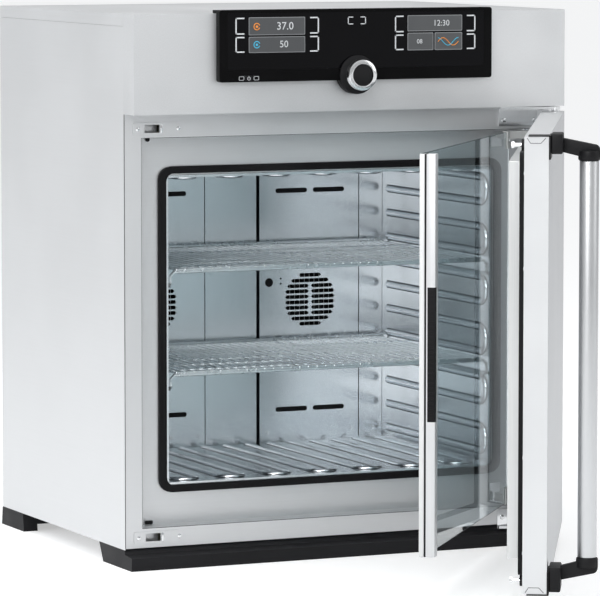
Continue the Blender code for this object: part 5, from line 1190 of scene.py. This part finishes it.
def makeFrameFittings():
    size = frameSizes
    bm = bmesh.new()
    for level in size["latchZ"]:
        for across in size["strikerScrewX"]:
            screwHead(
                bm, (across, size["strikerFace"], level), -1, size["strikerRadius"], size["strikerHeight"])
        softBox(
            bm, (*size["pipLow"], level - size["pipHalf"]), (*size["pipHigh"], level + size["pipHalf"]),
            size["pipRound"])
    showPiece("striker_fittings", bm, "bright", "striker_plate_upper")
    bm = bmesh.new()
    for level in size["latchZ"]:
        softBox(
            bm, (*size["pocketLow"], level - size["pocketHalf"]),
            (*size["pocketHigh"], level + size["pocketHalf"]), size["pocketRound"])
    showPiece("latch_pocket_backs", bm, "casing", "striker_plate_upper")
    bm = bmesh.new()
    fold = roundedLoop(
        (-size["foldX"], size["foldLow"]), (size["foldX"], size["foldHigh"]), size["foldCorner"],
        size["foldY"], 2)
    bentBars(bm, [fold], size["foldWire"], 1, True)
    seam = [(size["seamX"], size["seamY"], size["seamLow"]), (size["seamX"], size["seamY"], size["seamHigh"])]
    bentBars(bm, [seam], size["seamWire"], 1)
    showPiece("frame_fold_lines", bm, "shadow", "front_frame")


def makePlugs():
    size = frameSizes
    bm = bmesh.new()
    softDisc(
        bm, size["roundPlug"], "Y", size["plugRadius"], size["plugFront"], size["plugBack"],
        size["plugRound"], size["plugSides"])
    (left, right), (low, high) = size["longPlugX"], size["longPlugZ"]
    softBox(
        bm, (left, size["plugFront"], low), (right, size["plugBack"], high), size["longPlugRound"], 3)
    showPiece("frame_plugs", bm, "plastic", "front_frame")


def makeHingeScrews():
    size = frameSizes
    bm = bmesh.new()
    for level in size["hingeScrewZ"]:
        for across in size["hingeScrewX"]:
            screwHead(bm, (across, size["hingeFace"], level), -1, size["hingeRadius"], size["hingeHeight"])
    showPiece("hinge_screws", bm, "bright", "hinge_bracket_upper")


skinSizes = {"low": (-372.3, -43.75, 35.2), "high": (371.4, -43.42, 700.4), "corner": 0.8}


def makeShadedDoorSkin():
    # a thin darker skin over the door's face: painted shade
    bm = bmesh.new()
    roundedSlab(bm, skinSizes["low"], skinSizes["high"], skinSizes["corner"])
    showPiece("door_front_skin_shaded", bm, "skin", "door_outer_shell", swing=openDoor)


paneSizes = {
    "front": 31.6, "back": 35.4, "left": -302.6, "right": 302.9, "rims": ((66.3, 66.9), (667.1, 667.7)),
    "endX": (303.05, 303.6), "endZ": (67.2, 640.0),
    "screwX": 294.0, "screwZ": (654.5, 79.5), "screwFace": 28.8, "screwRadius": 3.6, "screwHeight": 1.5,
}


def makeGlassEdges():
    size = paneSizes
    bm = bmesh.new()
    for low, high in size["rims"]:
        softBox(bm, (size["left"], size["front"], low), (size["right"], size["back"], high))
    (left, right), (low, high) = size["endX"], size["endZ"]
    softBox(bm, (left, size["front"], low), (right, size["back"], high))
    showPiece("glass_edges", bm, "edge", "glass_pane", swing=openGlass)
    bm = bmesh.new()
    for level in size["screwZ"]:
        screwHead(
            bm, (size["screwX"], size["screwFace"], level), -1, size["screwRadius"], size["screwHeight"])
    showPiece("glass_clamp_screws", bm, "bright", "glass_clamp_upper", swing=openGlass)


makeFrameFittings()
makePlugs()
makeHingeScrews()
makeShadedDoorSkin()
makeGlassEdges()
print("fittings ready")


# Back: fan guards inside the cooler cover's slots, and the rear panel's screws.
backSizes = {
    "fanX": 110.0, "fanZ": 365.0, "rings": (16.0, 32.0, 48.0, 64.0), "ringY": 627.6, "wire": 1.1,
    "ringEnd": 354, "ringSteps": 35, "spokes": (45.0, 135.0, 225.0, 315.0), "face": 538.5,
    "rowX": (-350.0, -180.0, 0.0, 180.0, 350.0), "rowZ": (60.0, 820.0),
    "sideX": (-350.0, 350.0), "sideZ": (250.0, 440.0, 640.0), "screwRadius": 4.0, "screwHeight": 1.6,
}


def makeFanGuards():
    size = backSizes
    bm = bmesh.new()
    for side in (-1, 1):
        centre = (side * size["fanX"], size["ringY"], size["fanZ"])
        for radius in size["rings"]:
            ring = arcPoints(centre, radius, 0, size["ringEnd"], size["ringSteps"])
            bentBars(bm, [ring], size["wire"], 1, True)
        spokes = []
        for turn in size["spokes"]:
            spokes.append([
                (centre[0] + length * cos(radians(turn)), centre[1], centre[2] + length * sin(radians(turn)))
                for length in (size["rings"][0], size["rings"][-1])])
        bentBars(bm, spokes, size["wire"], 1)
    showPiece("cooler_fan_guards", bm, "bright", "cooler_cover")


def makeRearScrews():
    size = backSizes
    bm = bmesh.new()
    places = [(across, up) for across in size["rowX"] for up in size["rowZ"]]
    places += [(across, up) for up in size["sideZ"] for across in size["sideX"]]
    for across, up in places:
        screwHead(bm, (across, size["face"], up), 1, size["screwRadius"], size["screwHeight"])
    showPiece("rear_panel_screws", bm, "bright", "rear_panel")


makeFanGuards()
makeRearScrews()
print("back ready")
